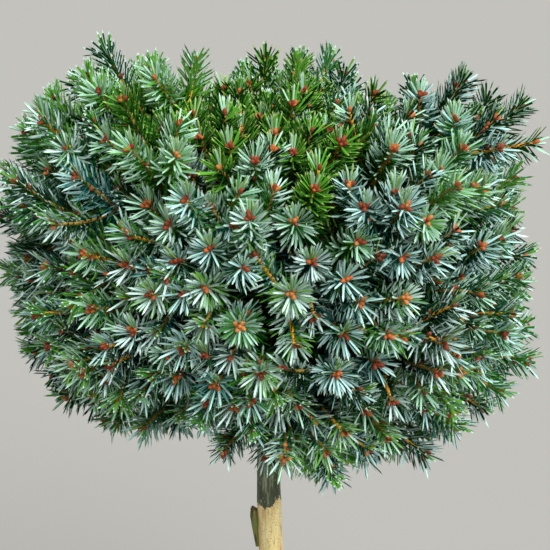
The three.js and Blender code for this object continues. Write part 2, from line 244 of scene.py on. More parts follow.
@dataclass(frozen=True)
class TrunkSizes:
    """The driving sizes of the stem, in millimetres.

    The bends are how far its axis leans along +X and +Y, at even steps up the stem. The stock's
    radius gives way to the scion's within union_step.
    """

    bends: tuple[tuple[float, float], ...] = (
        (0, 0),
        (1.6, 1.2),
        (2.2, 0.4),
        (-0.4, -0.8),
        (-1.4, 0.2),
        (0, 0),
    )
    foot_height: float = 178.3
    union_height: float = 482
    top_height: float = 700
    flare_radius: float = 16
    stock_radius: float = 9.4
    union_radius: float = 7.6
    scion_radius: float = 8.2
    tip_radius: float = 3.2
    flare_height: float = 30
    union_step: float = 0.01

    def centres(self, heights: Vec) -> Vec:
        """Points of the stem's axis at some heights, on a smooth curve through its bends.

        Args:
            heights: the heights, in millimetres.

        Returns:
            One point a row.
        """
        bends = np.array(self.bends)
        ends = (2 * bends[0] - bends[1], 2 * bends[-1] - bends[-2])
        knots = np.concatenate([ends[:1], bends, ends[1:]])
        place = (heights - self.foot_height) / (self.top_height - self.foot_height)
        place = place * (len(bends) - 1)
        i = np.clip(place.astype(int), 0, len(bends) - 2)
        t = (place - i)[:, None]
        a, b, c, d = (knots[i + k] for k in range(4))
        slope_b, slope_c = (c - a) / 2, (d - b) / 2
        bend = b * (2 * t**3 - 3 * t**2 + 1) + c * (3 * t**2 - 2 * t**3)
        bend = bend + slope_b * (t**3 - 2 * t**2 + t) + slope_c * (t**3 - t**2)
        return np.concatenate([bend, heights[:, None]], axis=1)

    def radii(self, heights: Vec) -> Vec:
        """The stem's plain radius at some heights.

        Args:
            heights: the heights, in millimetres.

        Returns:
            A radius for each.
        """
        flare = (self.flare_radius - self.stock_radius) * np.exp(
            (self.foot_height - heights) / self.flare_height
        )
        above = self.union_height + self.union_step
        marks = (self.foot_height, self.union_height, above, self.top_height)
        sizes = (self.stock_radius, self.union_radius, self.scion_radius, self.tip_radius)
        return np.interp(heights, marks, sizes) + flare * (heights < self.union_height)


@dataclass(frozen=True)
class Tier:
    """One ring of masses: where they point, in degrees, and how far they reach.

    Each reach is a share of the head's outline, and falls by edge_dip towards a mass's edge. A
    tier with no fork height sits on the stem's tip.
    """

    name: str
    elevation: float
    azimuths: tuple[float, ...]
    reaches: tuple[float, ...]
    edge_dip: float
    fork_height: float | None


TIERS = (
    Tier(
        name="skirt",
        elevation=-30,
        azimuths=(8, 60, 112, 160, 202, 242, 284, 328),
        reaches=(0.98, 1.0, 0.99, 1.0, 0.99, 0.91, 1.03, 1.08),
        edge_dip=0.12,
        fork_height=603,
    ),
    Tier(
        name="middle",
        elevation=7,
        azimuths=(0, 45, 90, 135, 180, 226, 272, 316),
        reaches=(0.97, 0.98, 0.95, 1.0, 1.0, 0.99, 0.98, 1.03),
        edge_dip=0.12,
        fork_height=630,
    ),
    Tier(
        name="upper",
        elevation=43,
        azimuths=(22, 79, 154, 202, 262, 320),
        reaches=(1.17, 1.02, 1.12, 1.1, 0.97, 1.02),
        edge_dip=0.16,
        fork_height=658,
    ),
)
LEADER = Tier(
    name="leader", elevation=88, azimuths=(60,), reaches=(0.95,), edge_dip=0.16, fork_height=None
)


@dataclass(frozen=True)
class Hollow:
    """A place where the head is thinner.

    Its middle is in degrees, its width in radians, and its depth a share of the outline.
    """

    azimuth: float
    elevation: float
    width: float
    depth: float


HOLLOWS = (
    Hollow(azimuth=38, elevation=52, width=0.28, depth=0.32),
    Hollow(azimuth=112, elevation=48, width=0.2, depth=0.28),
    Hollow(azimuth=254, elevation=-38, width=0.28, depth=0.14),
)


@dataclass
class Shoot:
    """One main shoot of the head: where it starts and ends, and the way it points."""

    root: Vec
    tip: Vec
    axis: Vec
    length: float


@dataclass
class Mass:
    """One mass of foliage, with the space that it keeps to.

    The normals and offsets are those of the planes that part it from the other masses. Its bough
    leaves the stem at the height fork, enters the mass at entry and ends at the hub.
    """

    name: str
    tier: str
    azimuth: float
    direction: Vec
    reach: float
    edge_dip: float
    fork: float | None
    seed_point: Vec
    hub: Vec
    entry: Vec
    normals: Vec = field(default_factory=lambda: np.zeros((0, 3)))
    offsets: Vec = field(default_factory=lambda: np.zeros(0))
    shoots: list[Shoot] = field(default_factory=list)

    def depth_inside(self, point: Vec) -> float:
        """How far a point is inside the mass's own space."""
        return float(np.min(self.offsets - self.normals @ point)) - GAP / 2


@dataclass(frozen=True)
class GapRule:
    """How the places far from every main shoot are found, in millimetres and shares.

    The head is looked at in as many places as there are probes, at one depth of its outline. A
    place gets a shoot where no other comes within the width. Each shoot counts at a few points,
    from foot, a share of its length, to its tip.
    """

    probes: int = 500
    depth: float = 0.87
    width: float = 19
    foot: float = 0.35
    points: int = 4


class Growth:
    """The head's masses and main shoots, grown by the rule of the part's source."""

    def __init__(self, sizes: HeadSizes, boughs: BoughSizes, stem_top: float) -> None:
        """Grows the head.

        Args:
            sizes: the head's driving sizes.
            boughs: the sizes of the boughs.
            stem_top: how high the stem's tip is.
        """
        self.sizes = sizes
        self.boughs = boughs
        self.stem_top = stem_top
        self.centre = UP * sizes.centre_height
        tiers = (*TIERS, LEADER)
        self.masses = [self._mass(tier, i) for tier in tiers for i in range(len(tier.azimuths))]
        for mass in self.masses:
            others = [m for m in self.masses if m is not mass]
            mass.normals = unit(np.array([m.seed_point - mass.seed_point for m in others]))
            middles = np.array([(m.seed_point + mass.seed_point) / 2 for m in others])
            mass.offsets = np.sum(mass.normals * middles, axis=1)
        self._share_shoots()

    def outline(self, direction: Vec) -> float:
        """How far the head's plain outline is from its centre, in a direction.

        Args:
            direction: the unit vector from the centre.

        Returns:
            The distance, in millimetres.
        """
        s = self.sizes
        above = direction[2] >= 0
        height = s.top_radius if above else s.under_radius
        power = s.top_power if above else s.under_power
        level = math.hypot(direction[0], direction[1]) / s.spread_radius
        return float((level**power + (abs(direction[2]) / height) ** power) ** (-1 / power))

    @staticmethod
    def fullness(direction: Vec) -> float:
        """The share of its plain outline that the head keeps in a direction.

        Args:
            direction: the unit vector from the centre.

        Returns:
            The share, from 0 to 1.
        """
        share = 1.0
        for hollow in HOLLOWS:
            middle = towards(hollow.azimuth, hollow.elevation)
            apart = math.acos(min(1.0, float(direction @ middle))) / hollow.width
            share -= hollow.depth * math.exp(-apart * apart)
        return share

    def _mass(self, tier: Tier, i: int) -> Mass:
        """Places one mass.

        Args:
            tier: the tier that it is in.
            i: its place in the tier.

        Returns:
            The mass, with no shoots yet.
        """
        direction = towards(tier.azimuths[i], tier.elevation)
        far = self.outline(direction)
        hub = self.centre + direction * far * self.sizes.hub_share
        name = tier.name
        fork = None
        entry = UP * self.stem_top
        if tier.fork_height is not None:
            name = f"{tier.name}_{i + 1}"
            place = i * self.boughs.stagger_step % len(tier.azimuths)
            fork = tier.fork_height + place * self.boughs.stagger
            entry = hub - direction * self.sizes.stem_length
        return Mass(
            name=name,
            tier="upper" if fork is None else tier.name,
            azimuth=tier.azimuths[i],
            direction=direction,
            reach=tier.reaches[i],
            edge_dip=tier.edge_dip,
            fork=fork,
            seed_point=self.centre + direction * far * self.sizes.seed_share,
            hub=hub,
            entry=entry,
        )

    def _surface_way(self, k: int, count: int, angle: float) -> Vec:
        """The way to one of a count of places spread evenly over the head.

        Args:
            k: the number of the place, from the top down.
            count: how many places there are.
            angle: where round the head it is, in radians.

        Returns:
            The unit vector from the head's centre.
        """
        s = self.sizes
        rise = 1 - (2 * k + 1) / count
        height = s.top_radius if rise > 0 else s.under_radius
        flat = around(AHEAD, ASIDE, angle) * math.sqrt(1 - rise * rise) * s.spread_radius
        return unit(flat + UP * rise * height)

    def _nearest(self, point: Vec) -> Mass:
        """The mass whose seed point is nearest to a point."""
        return min(self.masses, key=lambda m: float(np.linalg.norm(m.seed_point - point)))

    def _shoot_at(self, direction: Vec, mass: Mass, traits: list[float]) -> Shoot:
        """Makes the shoot that ends on the outline of its mass.

        Args:
            direction: the way from the head's centre to the shoot's tip.
            mass: the mass that it belongs to.
            traits: random numbers for its reach, the turn and size of its sway, and its length.

        Returns:
            The shoot.
        """
        s = self.sizes
        reach_chance, turn_chance, sway_chance, length_chance = traits
        side, over = across_of(direction)
        cosine = min(1.0, max(-1.0, float(direction @ mass.direction)))
        outwards = min(math.acos(cosine) / s.mass_spread, 1)
        share = mass.reach * (1 - mass.edge_dip * outwards**2) * self.fullness(direction)
        reach = self.outline(direction) * share * near_one(reach_chance, s.reach_spread)
        rise = s.rise + s.rise_gain * max(direction[2], s.rise_low)
        sway = around(side, over, turn_chance * FULL_TURN) * s.sway * sway_chance
        axis = unit(direction + UP * rise + sway)
        length = s.shoot_length * near_one(length_chance, s.length_spread)
        tip = self.centre + direction * reach
        return Shoot(root=tip - axis * length, tip=tip, axis=axis, length=length)

    def _share_shoots(self) -> None:
        """Spreads the main shoots round the head and deals each to the nearest mass."""
        s = self.sizes
        random = SeededRandom(s.seed)
        for k in range(s.shoots):
            angle = k * GOLDEN_ANGLE + s.shoot_scatter * (random() - 0.5)
            direction = self._surface_way(k, s.shoots, angle)
            traits = [random() for _ in range(4)]
            if direction[2] < s.lowest:
                continue
            far = self.outline(direction)
            nearest = self._nearest(self.centre + direction * far * s.seed_share)
            for _ in range(s.tries):
                shoot = self._shoot_at(direction, nearest, traits)
                depth = min(nearest.depth_inside(shoot.tip), nearest.depth_inside(shoot.root))
                if depth > s.bare_radius + GAP:
                    nearest.shoots.append(shoot)
                    break
                direction = unit(mix(direction, nearest.direction, s.lean_in))

    def fill_gaps(self, rule: GapRule) -> int:
        """Adds a shoot wherever the head's surface is far from every main shoot.

        Args:
            rule: how such places are found.

        Returns:
            How many shoots were added.
        """
        s = self.sizes
        random = SeededRandom(s.seed + rule.probes)
        shares = np.linspace(rule.foot, 1, rule.points)[:, None]
        near = [mix(a.root, a.tip, shares) for mass in self.masses for a in mass.shoots]
        added = 0
        for k in range(rule.probes):
            direction = self._surface_way(k, rule.probes, k * GOLDEN_ANGLE)
            share = rule.depth * self.fullness(direction) * near_one(random(), s.reach_spread)
            tip = self.centre + direction * self.outline(direction) * share
            apart = np.linalg.norm(np.concatenate(near) - tip, axis=1).min()
            if direction[2] < s.lowest or apart < rule.width:
                continue
            axis = unit(direction + UP * s.rise)
            length = s.shoot_length * near_one(random(), s.length_spread) * share
            shoot = Shoot(root=tip - axis * length, tip=tip, axis=axis, length=length)
            self._nearest(tip).shoots.append(shoot)
            near.append(mix(shoot.root, shoot.tip, shares))
            added += 1
        return added

    def bough_curve(self, mass: Mass) -> Vec:
        """The control points of the bough that carries a mass, from the stem's axis.

        Args:
            mass: the mass.

        Returns:
            One point a row.
        """
        level = unit(mass.direction * (AHEAD + ASIDE))
        out = unit(level + UP * self.boughs.rise)
        return bend_from(UP * mass.fork, out, mass.entry, mass.direction, self.boughs.pull)


def new_object(name: str, data: bpy.types.ID) -> bpy.types.Object:
    """Makes an object and puts it in the scene.

    Args:
        name: the object's name.
        data: its mesh, camera or light.

    Returns:
        The object.
    """
    made = bpy.data.objects.new(name, data)
    bpy.context.scene.collection.objects.link(made)
    return made


def pointed(way: Vector) -> Euler:
    """The turn that points a camera or a light along a way."""
    return way.to_track_quat("-Z", "Y").to_euler()


@dataclass
class MeshParts:
    """Vertices and faces that are gathered before they become one mesh, in millimetres."""

    vertices: list[Vec] = field(default_factory=list)
    faces: dict[int, list[Vec]] = field(default_factory=dict)
    slots: dict[int, list[Vec]] = field(default_factory=dict)
    count: int = 0

    def add(self, vertices: Vec, faces: Vec, slots: Vec | int = 0) -> None:
        """Adds a patch of faces that all have the same number of corners.

        Args:
            vertices: the patch's points, one a row.
            faces: the corners of each face, one face a row, counted from the patch's own points.
            slots: the material slot of each face, or one for all.
        """
        self.add_faces(faces, slots)
        self.vertices.append(vertices.reshape(-1, 3))
        self.count += len(self.vertices[-1])

    def add_faces(self, faces: Vec, slots: Vec | int = 0) -> None:
        """Adds faces on the points of the patch that is added next.

        Args:
            faces: the corners of each face, one face a row.
            slots: the material slot of each face, or one for all.
        """
        corners = faces.shape[-1]
        flat = faces.reshape(-1, corners)
        self.faces.setdefault(corners, []).append(flat + self.count)
        self.slots.setdefault(corners, []).append(np.broadcast_to(slots, len(flat)))

    def build(
        self, name: str, materials: list[bpy.types.Material], smooth: bool
    ) -> bpy.types.Object:
        """Makes the mesh and its object.

        Args:
            name: the piece's name.
            materials: one for each material slot.
            smooth: whether its faces are shaded smooth.

        Returns:
            The object, linked to the scene.
        """
        mesh = bpy.data.meshes.new(name)
        points = np.concatenate(self.vertices) * MM
        order = sorted(self.faces)
        stacks = [np.concatenate(self.faces[n]) for n in order]
        corners = np.concatenate([s.ravel() for s in stacks])
        totals = np.concatenate([np.full(len(s), n) for n, s in zip(order, stacks)])
        slots = np.concatenate([np.concatenate(self.slots[n]) for n in order])
        mesh.vertices.add(len(points))
        mesh.vertices.foreach_set("co", points.astype(np.float32).ravel())
        mesh.loops.add(len(corners))
        mesh.loops.foreach_set("vertex_index", corners.astype(np.int32))
        mesh.polygons.add(len(totals))
        starts = np.concatenate([[0], np.cumsum(totals)[:-1]])
        mesh.polygons.foreach_set("loop_start", starts.astype(np.int32))
        for material in materials:
            mesh.materials.append(material)
        mesh.polygons.foreach_set("material_index", slots.astype(np.int32))
        mesh.polygons.foreach_set("use_smooth", np.full(len(totals), smooth))
        mesh.update(calc_edges=True)
        mesh.validate()
        return new_object(name, mesh)


def grid_faces(rings: int, sides: int) -> Vec:
    """The four-cornered faces between rings of points that close on themselves.

    Args:
        rings: how many rings there are.
        sides: how many points each has.

    Returns:
        One face a row, facing away from the rings' middle where they turn left.
    """
    ring, i = np.meshgrid(np.arange(rings - 1), np.arange(sides), indexing="ij")
    after = (i + 1) % sides
    low, high = ring * sides, (ring + 1) * sides
    return np.stack([low + i, low + after, high + after, high + i], axis=-1).reshape(-1, 4)


def fan_faces(first: int, sides: int, middle: int, outwards: bool) -> Vec:
    """The triangles that close a ring of points at one middle point.

    Args:
        first: the ring's first point.
        sides: how many points it has.
        middle: the middle point.
        outwards: whether the fan faces the way that the rings run, or back.

    Returns:
        One triangle a row.
    """
    i = np.arange(sides)
    after = (i + 1) % sides
    tip = np.full(sides, middle)
    ends = (i, after) if outwards else (after, i)
    return np.stack([first + ends[0], first + ends[1], tip], axis=-1)


def add_rings(
    parts: MeshParts, points: Vec, sides: int, ends: Vec, slots: Vec | int = 0
) -> None:
    """Adds a form of rings that is closed at both ends.

    Args:
        parts: what it is added to.
        points: the rings' points, one a row, ring after ring.
        sides: how many points a ring has.
        ends: the middle point of each end.
        slots: the material slot of each face between the rings, or one for all.
    """
    count = len(points)
    first, last = np.ravel(slots)[[0, -1]]
    parts.add_faces(grid_faces(count // sides, sides), slots)
    parts.add_faces(fan_faces(0, sides, count, outwards=False), first)
    close = fan_faces(count - sides, sides, count + 1, outwards=True)
    parts.add(np.concatenate([points, ends]), close, last)


def add_tube(
    parts: MeshParts,
    controls: Vec,
    radii: Vec,
    sides: int,
    bumps: float = 0.0,
    slot: int = 0,
) -> None:
    """Adds a closed tube along a Bezier curve.

    Args:
        parts: what it is added to.
        controls: the curve's control points.
        radii: its radius at each ring.
        sides: how many sides it has.
        bumps: how much every other point stands out, as a share of the radius.
        slot: its material slot.
    """
    shares = np.linspace(0, 1, len(radii))
    centres = along(controls, shares)
    tangents = ways_along(controls, shares)
    ring, i = np.meshgrid(np.arange(len(radii)), np.arange(sides), indexing="ij")
    reach = radii[:, None] * (1 + bumps * (((ring + i) % 2) * 2 - 1))
    points = centres[:, None] + ring_ways(*frames_of(tangents), sides) * reach[..., None]
    ends = np.array([centres[0], centres[-1] + tangents[-1] * radii[-1] * TUBE_END])
    add_rings(parts, points.reshape(-1, 3), sides, ends, slot)


class Tint(Enum):
    """The plain colours dealt to needles. Each value is a slot of a needle mesh."""

    # The two teals are painted shade: the dark teal that falls between a rosette's needles, dealt
    # to their feet, to the shaded side of their ridges and to needles deep along a twig.
    TEAL_DEEP = 0
    TEAL_MID = 1
    SILVER_COOL = 2
    SILVER_PALE = 3
    SILVER_GREEN = 4
    PALE_TIP = 5
    GREEN_DEEP = 6
    GREEN_MID = 7
    GREEN_FRESH = 8
    YOUNG = 9
    # The old tones are the dark green of old needles, made near black as painted shade deep inside
    # the head.
    OLD_INNER = 10
    OLD_OUTER = 11


class BudTint(Enum):
    """The plain colours dealt to buds. Each value is a slot of a bud mesh."""

    ORANGE = 0
    RED_BROWN = 1
    TAN = 2


class Wood(Enum):
    """The colours of twigs. Each value is a slot of a twig mesh."""

    ORANGE = 0
    TAN = 1
    OLD = 2


@dataclass(frozen=True)
class PlainFinish:
    """A finish of one colour, for the small things that are dealt their colours one by one."""

    name: str
    code: str
    roughness: float = 0.6
    specular: float = 0.12

    def material(self) -> bpy.types.Material:
        """Makes the material, with its values on the shader's own sockets.

        Returns:
            The material.
        """
        material = bpy.data.materials.new(self.name)
        material.use_nodes = True
        shader = material.node_tree.nodes["Principled BSDF"]
        shader.inputs["Base Color"].default_value = (*colour(self.code), 1)
        shader.inputs["Roughness"].default_value = self.roughness
        shader.inputs["Specular IOR Level"].default_value = self.specular
        return material


NEEDLE_FINISHES = {
    # Painted shade: the teal finishes stand for the shade on silver needles, not a colour of their
    # own.
    Tint.TEAL_DEEP: PlainFinish("needle_teal_deep", "083b35"),
    Tint.TEAL_MID: PlainFinish("needle_teal_mid", "1f6a63"),
    Tint.SILVER_COOL: PlainFinish("needle_silver_cool", "a6cfcb"),
    Tint.SILVER_PALE: PlainFinish("needle_silver_pale", "bcd9d2"),
    Tint.SILVER_GREEN: PlainFinish("needle_silver_green", "98c4a9"),
    Tint.PALE_TIP: PlainFinish("needle_pale_tip", "b0c9bc"),
    Tint.GREEN_DEEP: PlainFinish("needle_green_deep", "0b3b07"),
    Tint.GREEN_MID: PlainFinish("needle_green_mid", "2d7217"),
    Tint.GREEN_FRESH: PlainFinish("needle_green_fresh", "549229"),
    Tint.YOUNG: PlainFinish("needle_young", "8fae5c"),
    # Painted shade: the old finishes are near black, for the shade deep inside the head as well as
    # the old needles' darker green.
    Tint.OLD_INNER: PlainFinish("needle_old_inner", "082d10"),
    Tint.OLD_OUTER: PlainFinish("needle_old_outer", "062004"),
}
BUD_FINISHES = {
    BudTint.ORANGE: PlainFinish("bud_orange", "a85a2e", 0.4),
    BudTint.RED_BROWN: PlainFinish("bud_red_brown", "7e3a24", 0.4),
    BudTint.TAN: PlainFinish("bud_tan", "b0703c", 0.45),
}
TWIG_FINISHES = {
    Wood.ORANGE: PlainFinish("twig_orange", "dc9c34"),
    Wood.TAN: PlainFinish("twig_tan", "8a7236"),
    Wood.OLD: PlainFinish("twig_old", "5f432c", 0.8),
}
CHIP_FINISHES = (
    PlainFinish("chip_brown", "5d3d29", 0.85),
    PlainFinish("chip_tan", "8a6140", 0.85),
    PlainFinish("chip_dark", "33241b", 0.9),
    PlainFinish("chip_grit", "b3aa9a", 0.8),
)
FLOOR_FINISH = PlainFinish("floor", "92918d", 0.9)


def materials_of(finishes: dict[Enum, PlainFinish]) -> list[bpy.types.Material]:
    """The materials of a mesh, in the order of the slots that the finishes' keys stand for."""
    return [finishes[key].material() for key in sorted(finishes, key=lambda key: key.value)]


class NodeSketch:
    """Adds nodes to a tree and feeds them."""

    def __init__(self, tree: bpy.types.NodeTree) -> None:
        """Starts with a tree."""
        self.tree = tree

    def add(self, kind: str, feeds: dict | None = None, **settings: object) -> bpy.types.Node:
        """Adds a node.

        Args:
            kind: the node's type.
            feeds: a value or a socket for each input, by its name or its place.
            settings: the node's own properties.

        Returns:
            The node.
        """
        node = self.tree.nodes.new(kind)
        for name, value in settings.items():
            setattr(node, name, value)
        for key, value in (feeds or {}).items():
            if isinstance(value, bpy.types.NodeSocket):
                self.tree.links.new(value, node.inputs[key])
            else:
                node.inputs[key].default_value = value
        return node

    def cloud(
        self, place: bpy.types.NodeSocket, scale: float | bpy.types.NodeSocket, detail: float
    ) -> bpy.types.NodeSocket:
        """A share that drifts from place to place, at a scale and with some detail."""
        feeds = {"Vector": place, "Scale": scale, "Detail": detail}
        return self.add("ShaderNodeTexNoise", feeds).outputs["Fac"]

    def band(self, value: bpy.types.NodeSocket, low: float, high: float) -> bpy.types.NodeSocket:
        """A share that goes from 0 to 1 while a value goes from low to high."""
        feeds = {"Value": value, "From Min": low, "From Max": high}
        return self.add("ShaderNodeMapRange", feeds, clamp=True).outputs["Result"]

    def blend(
        self,
        share: bpy.types.NodeSocket,
        low: str | bpy.types.NodeSocket,
        high: str | bpy.types.NodeSocket,
    ) -> bpy.types.NodeSocket:
        """A colour between two others, each a code or a socket, at a share.

        Args:
            share: how much of the second colour shows.
            low: the first colour.
            high: the second colour.

        Returns:
            The socket of the colour.
        """
        ends = [(*colour(end), 1) if isinstance(end, str) else end for end in (low, high)]
        node = self.add("ShaderNodeMix", {0: share, 6: ends[0], 7: ends[1]}, data_type="RGBA")
        return node.outputs[2]


def new_group(name: str, inputs: tuple[str, ...], outputs: tuple[str, ...]) -> NodeSketch:
    """Starts a shader node group.

    Args:
        name: the group's name.
        inputs: the names of its values.
        outputs: the names of its results.

    Returns:
        A sketch of the new group.
    """
    tree = bpy.data.node_groups.new(name, "ShaderNodeTree")
    for way, sockets in (("INPUT", inputs), ("OUTPUT", outputs)):
        for socket in sockets:
            tree.interface.new_socket(socket, in_out=way, socket_type="NodeSocketFloat")
    return NodeSketch(tree)


@cache
def fibre_group() -> bpy.types.NodeTree:
    """The pattern of bark: fine fibres along the stem, broad patches and small flecks.

    Returns:
        Its node group.
    """
    sketch = new_group("bark_fibres", ("Across", "Along", "Fleck"), ("Fibre", "Patch", "Fleck"))
    given = sketch.add("NodeGroupInput").outputs
    place = sketch.add("ShaderNodeTexCoord").outputs["Object"]
    across, lengthwise = given["Across"], given["Along"]
    stretch = sketch.add("ShaderNodeCombineXYZ", {"X": across, "Y": across, "Z": lengthwise})
    feeds = {0: place, 1: stretch.outputs["Vector"]}
    drawn = sketch.add("ShaderNodeVectorMath", feeds, operation="MULTIPLY").outputs["Vector"]
    results = {
        "Fibre": sketch.cloud(drawn, scale=1.0, detail=4.0),
        "Patch": sketch.cloud(drawn, scale=0.22, detail=2.0),
        "Fleck": sketch.cloud(place, scale=given["Fleck"], detail=1.0),
    }
    sketch.add("NodeGroupOutput", results)
    return sketch.tree


@cache
def clay_group() -> bpy.types.NodeTree:
    """The pattern of thrown clay: rings from the wheel, broad mottling and fine grain.

    Returns:
        Its node group.
    """
    marks = ("Rings", "Mottle", "Grain")
    sketch = new_group("thrown_clay", marks, marks)
    given = sketch.add("NodeGroupInput").outputs
    place = sketch.add("ShaderNodeTexCoord").outputs["Object"]
    feeds = {"Vector": place, "Scale": given["Rings"], "Distortion": 0.6, "Detail Scale": 2.0}
    results = {
        "Rings": sketch.add("ShaderNodeTexWave", feeds, bands_direction="Z").outputs["Fac"],
        "Mottle": sketch.cloud(place, scale=given["Mottle"], detail=5.0),
        "Grain": sketch.cloud(place, scale=given["Grain"], detail=2.0),
    }
    sketch.add("NodeGroupOutput", results)
    return sketch.tree


class Mark(Enum):
    """What a pattern gives a finish. Each value names an output of its node group."""

    FIBRE = "Fibre"
    PATCH = "Patch"
    FLECK = "Fleck"
    RINGS = "Rings"
    MOTTLE = "Mottle"
    GRAIN = "Grain"


@dataclass(frozen=True)
class Layer:
    """A colour that covers those below it as a mark goes from low to high."""

    mark: Mark
    low: float
    high: float
    code: str


@dataclass(frozen=True)
class PatternFinish:
    """A finish whose colour and relief come from a pattern.

    The scales are the pattern's own values, in order. The heights are the marks whose sum gives
    the relief, and the relief's depth is in metres.
    """

    name: str
    group: Callable[[], bpy.types.NodeTree]
    scales: tuple[float, float, float]
    base: str
    layers: tuple[Layer, ...]
    heights: tuple[Mark, ...]
    roughness: float
    relief: float
    relief_depth: float

    def material(self) -> bpy.types.Material:
        """Makes the material: the pattern's colour and relief on one plain shader.

        Returns:
            The material.
        """
        material = bpy.data.materials.new(self.name)
        material.use_nodes = True
        sketch = NodeSketch(material.node_tree)
        shader = material.node_tree.nodes["Principled BSDF"]
        shader.inputs["Roughness"].default_value = self.roughness
        scales = dict(enumerate(self.scales))
        marks = sketch.add("ShaderNodeGroup", scales, node_tree=self.group()).outputs
        tint = self.base
        for layer in self.layers:
            share = sketch.band(marks[layer.mark.value], layer.low, layer.high)
            tint = sketch.blend(share, tint, layer.code)
        height = marks[self.heights[0].value]
        for mark in self.heights[1:]:
            feeds = {0: height, 1: marks[mark.value]}
            height = sketch.add("ShaderNodeMath", feeds, operation="ADD").outputs["Value"]
        feeds = {"Height": height, "Strength": self.relief, "Distance": self.relief_depth}
        bump = sketch.add("ShaderNodeBump", feeds)
        sketch.tree.links.new(tint, shader.inputs["Base Color"])
        sketch.tree.links.new(bump.outputs["Normal"], shader.inputs["Normal"])
        return material


# Painted light: the stock's colours are lightened to make up for the head's shadow on the stock.
STRAW, CREAM, TAN, GROOVE = "f2e09c", "faf0c4", "e2bd80", "a6854f"
STOCK_BARK = PatternFinish(
    name="stock_bark",
    group=fibre_group,
    scales=(640.0, 62.0, 1300.0),
    base=STRAW,
    layers=(
        Layer(Mark.PATCH, 0.45, 0.62, TAN),
        # Painted highlight: cream on the fibres' ridges, where the relief stands highest.
        Layer(Mark.FIBRE, 0.55, 0.72, CREAM),
        # Painted shade: groove brown in the fibres' hollows. The next layer uses it for the bark's
        # dark flecks.
        Layer(Mark.FIBRE, 0.42, 0.3, GROOVE),
        Layer(Mark.FLECK, 0.6, 0.7, GROOVE),
    ),
    heights=(Mark.FIBRE,),
    roughness=0.85,
    relief=0.8,
    relief_depth=0.0012,
)
SLATE, DARK_SLATE, LICHEN = "6d7456", "414a36", "9da186"
SCION_BARK = PatternFinish(
    name="scion_bark",
    group=fibre_group,
    scales=(560.0, 80.0, 620.0),
    base=DARK_SLATE,
    layers=(
        Layer(Mark.PATCH, 0.4, 0.62, SLATE),
        Layer(Mark.FIBRE, 0.54, 0.7, LICHEN),
        Layer(Mark.FIBRE, 0.42, 0.32, DARK_SLATE),
        Layer(Mark.FLECK, 0.68, 0.75, LICHEN),
    ),
    heights=(Mark.FIBRE,),
    roughness=0.8,
    relief=0.6,
    relief_depth=0.0008,
)
MOSS, MOSSY_BROWN, DARK_MOSS = "6f7a3a", "8b8054", "4d4a26"
STUB_BARK = PatternFinish(
    name="stub_bark",
    group=fibre_group,
    scales=(480.0, 70.0, 500.0),
    base=MOSS,
    layers=(
        Layer(Mark.PATCH, 0.46, 0.6, MOSSY_BROWN),
        Layer(Mark.FIBRE, 0.45, 0.34, DARK_MOSS),
    ),
    heights=(Mark.FIBRE,),
    roughness=0.85,
    relief=0.9,
    relief_depth=0.001,
)
WOOD_BROWN, WOOD_GREY = "453728", "5c5346"
BOUGH_BARK = PatternFinish(
    name="bough_bark",
    group=fibre_group,
    scales=(450.0, 300.0, 700.0),
    base=WOOD_BROWN,
    layers=(Layer(Mark.PATCH, 0.4, 0.6, WOOD_GREY),),
    heights=(Mark.FIBRE,),
    roughness=0.85,
    relief=0.7,
    relief_depth=0.0008,
)
WARM_CLAY, DARK_CLAY, BLOOM = "b9714e", "9c573a", "d3a88e"
FIRED_CLAY = PatternFinish(
    name="fired_clay",
    group=clay_group,
    scales=(60.0, 16.0, 900.0),
    base=DARK_CLAY,
    layers=(
        Layer(Mark.MOTTLE, 0.36, 0.6, WARM_CLAY),
        Layer(Mark.MOTTLE, 0.58, 0.78, BLOOM),
        Layer(Mark.GRAIN, 0.66, 0.8, DARK_CLAY),
    ),
    heights=(Mark.GRAIN, Mark.RINGS),
    roughness=0.85,
    relief=0.35,
    relief_depth=0.0004,
)
DARK_EARTH, LIGHT_EARTH = "2a1e16", "4d3728"
EARTH = PatternFinish(
    name="earth",
    group=clay_group,
    scales=(10.0, 220.0, 700.0),
    base=DARK_EARTH,
    layers=(Layer(Mark.MOTTLE, 0.38, 0.64, LIGHT_EARTH),),
    heights=(Mark.GRAIN,),
    roughness=0.95,
    relief=1.0,
    relief_depth=0.002,
)


@dataclass(frozen=True)
class Tones:
    """The colours that one spray's needles are dealt, for each part of a needle."""

    # Painted shade: a foot tone darker than the blade stands for the shade at a needle's foot,
    # inside its rosette.
    foot: Tint
    blade: Tint
    tip: Tint
    # The edge is the other side of the needle's ridge: painted shade where it takes the foot's dark
    # tone, the needles' own green where it takes the outer side's.
    edge: Tint
    outer: Tint
    # Painted shade for whole needles near a twig's foot, which also stands for the darker green of
    # older needles.
    shade: Tint


# The needles of old wood and of shaded shoots: old needles' dark green, made near black as painted
# shade deep in the head.
OLD_AND_SHADE_TONES = Tones(
    foot=Tint.OLD_OUTER,
    blade=Tint.OLD_INNER,
    tip=Tint.OLD_INNER,
    edge=Tint.OLD_OUTER,
    outer=Tint.OLD_OUTER,
    shade=Tint.OLD_INNER,
)
YOUNG_TONES = Tones(
    foot=Tint.YOUNG,
    blade=Tint.SILVER_GREEN,
    tip=Tint.PALE_TIP,
    edge=Tint.YOUNG,
    outer=Tint.GREEN_FRESH,
    shade=Tint.YOUNG,
)


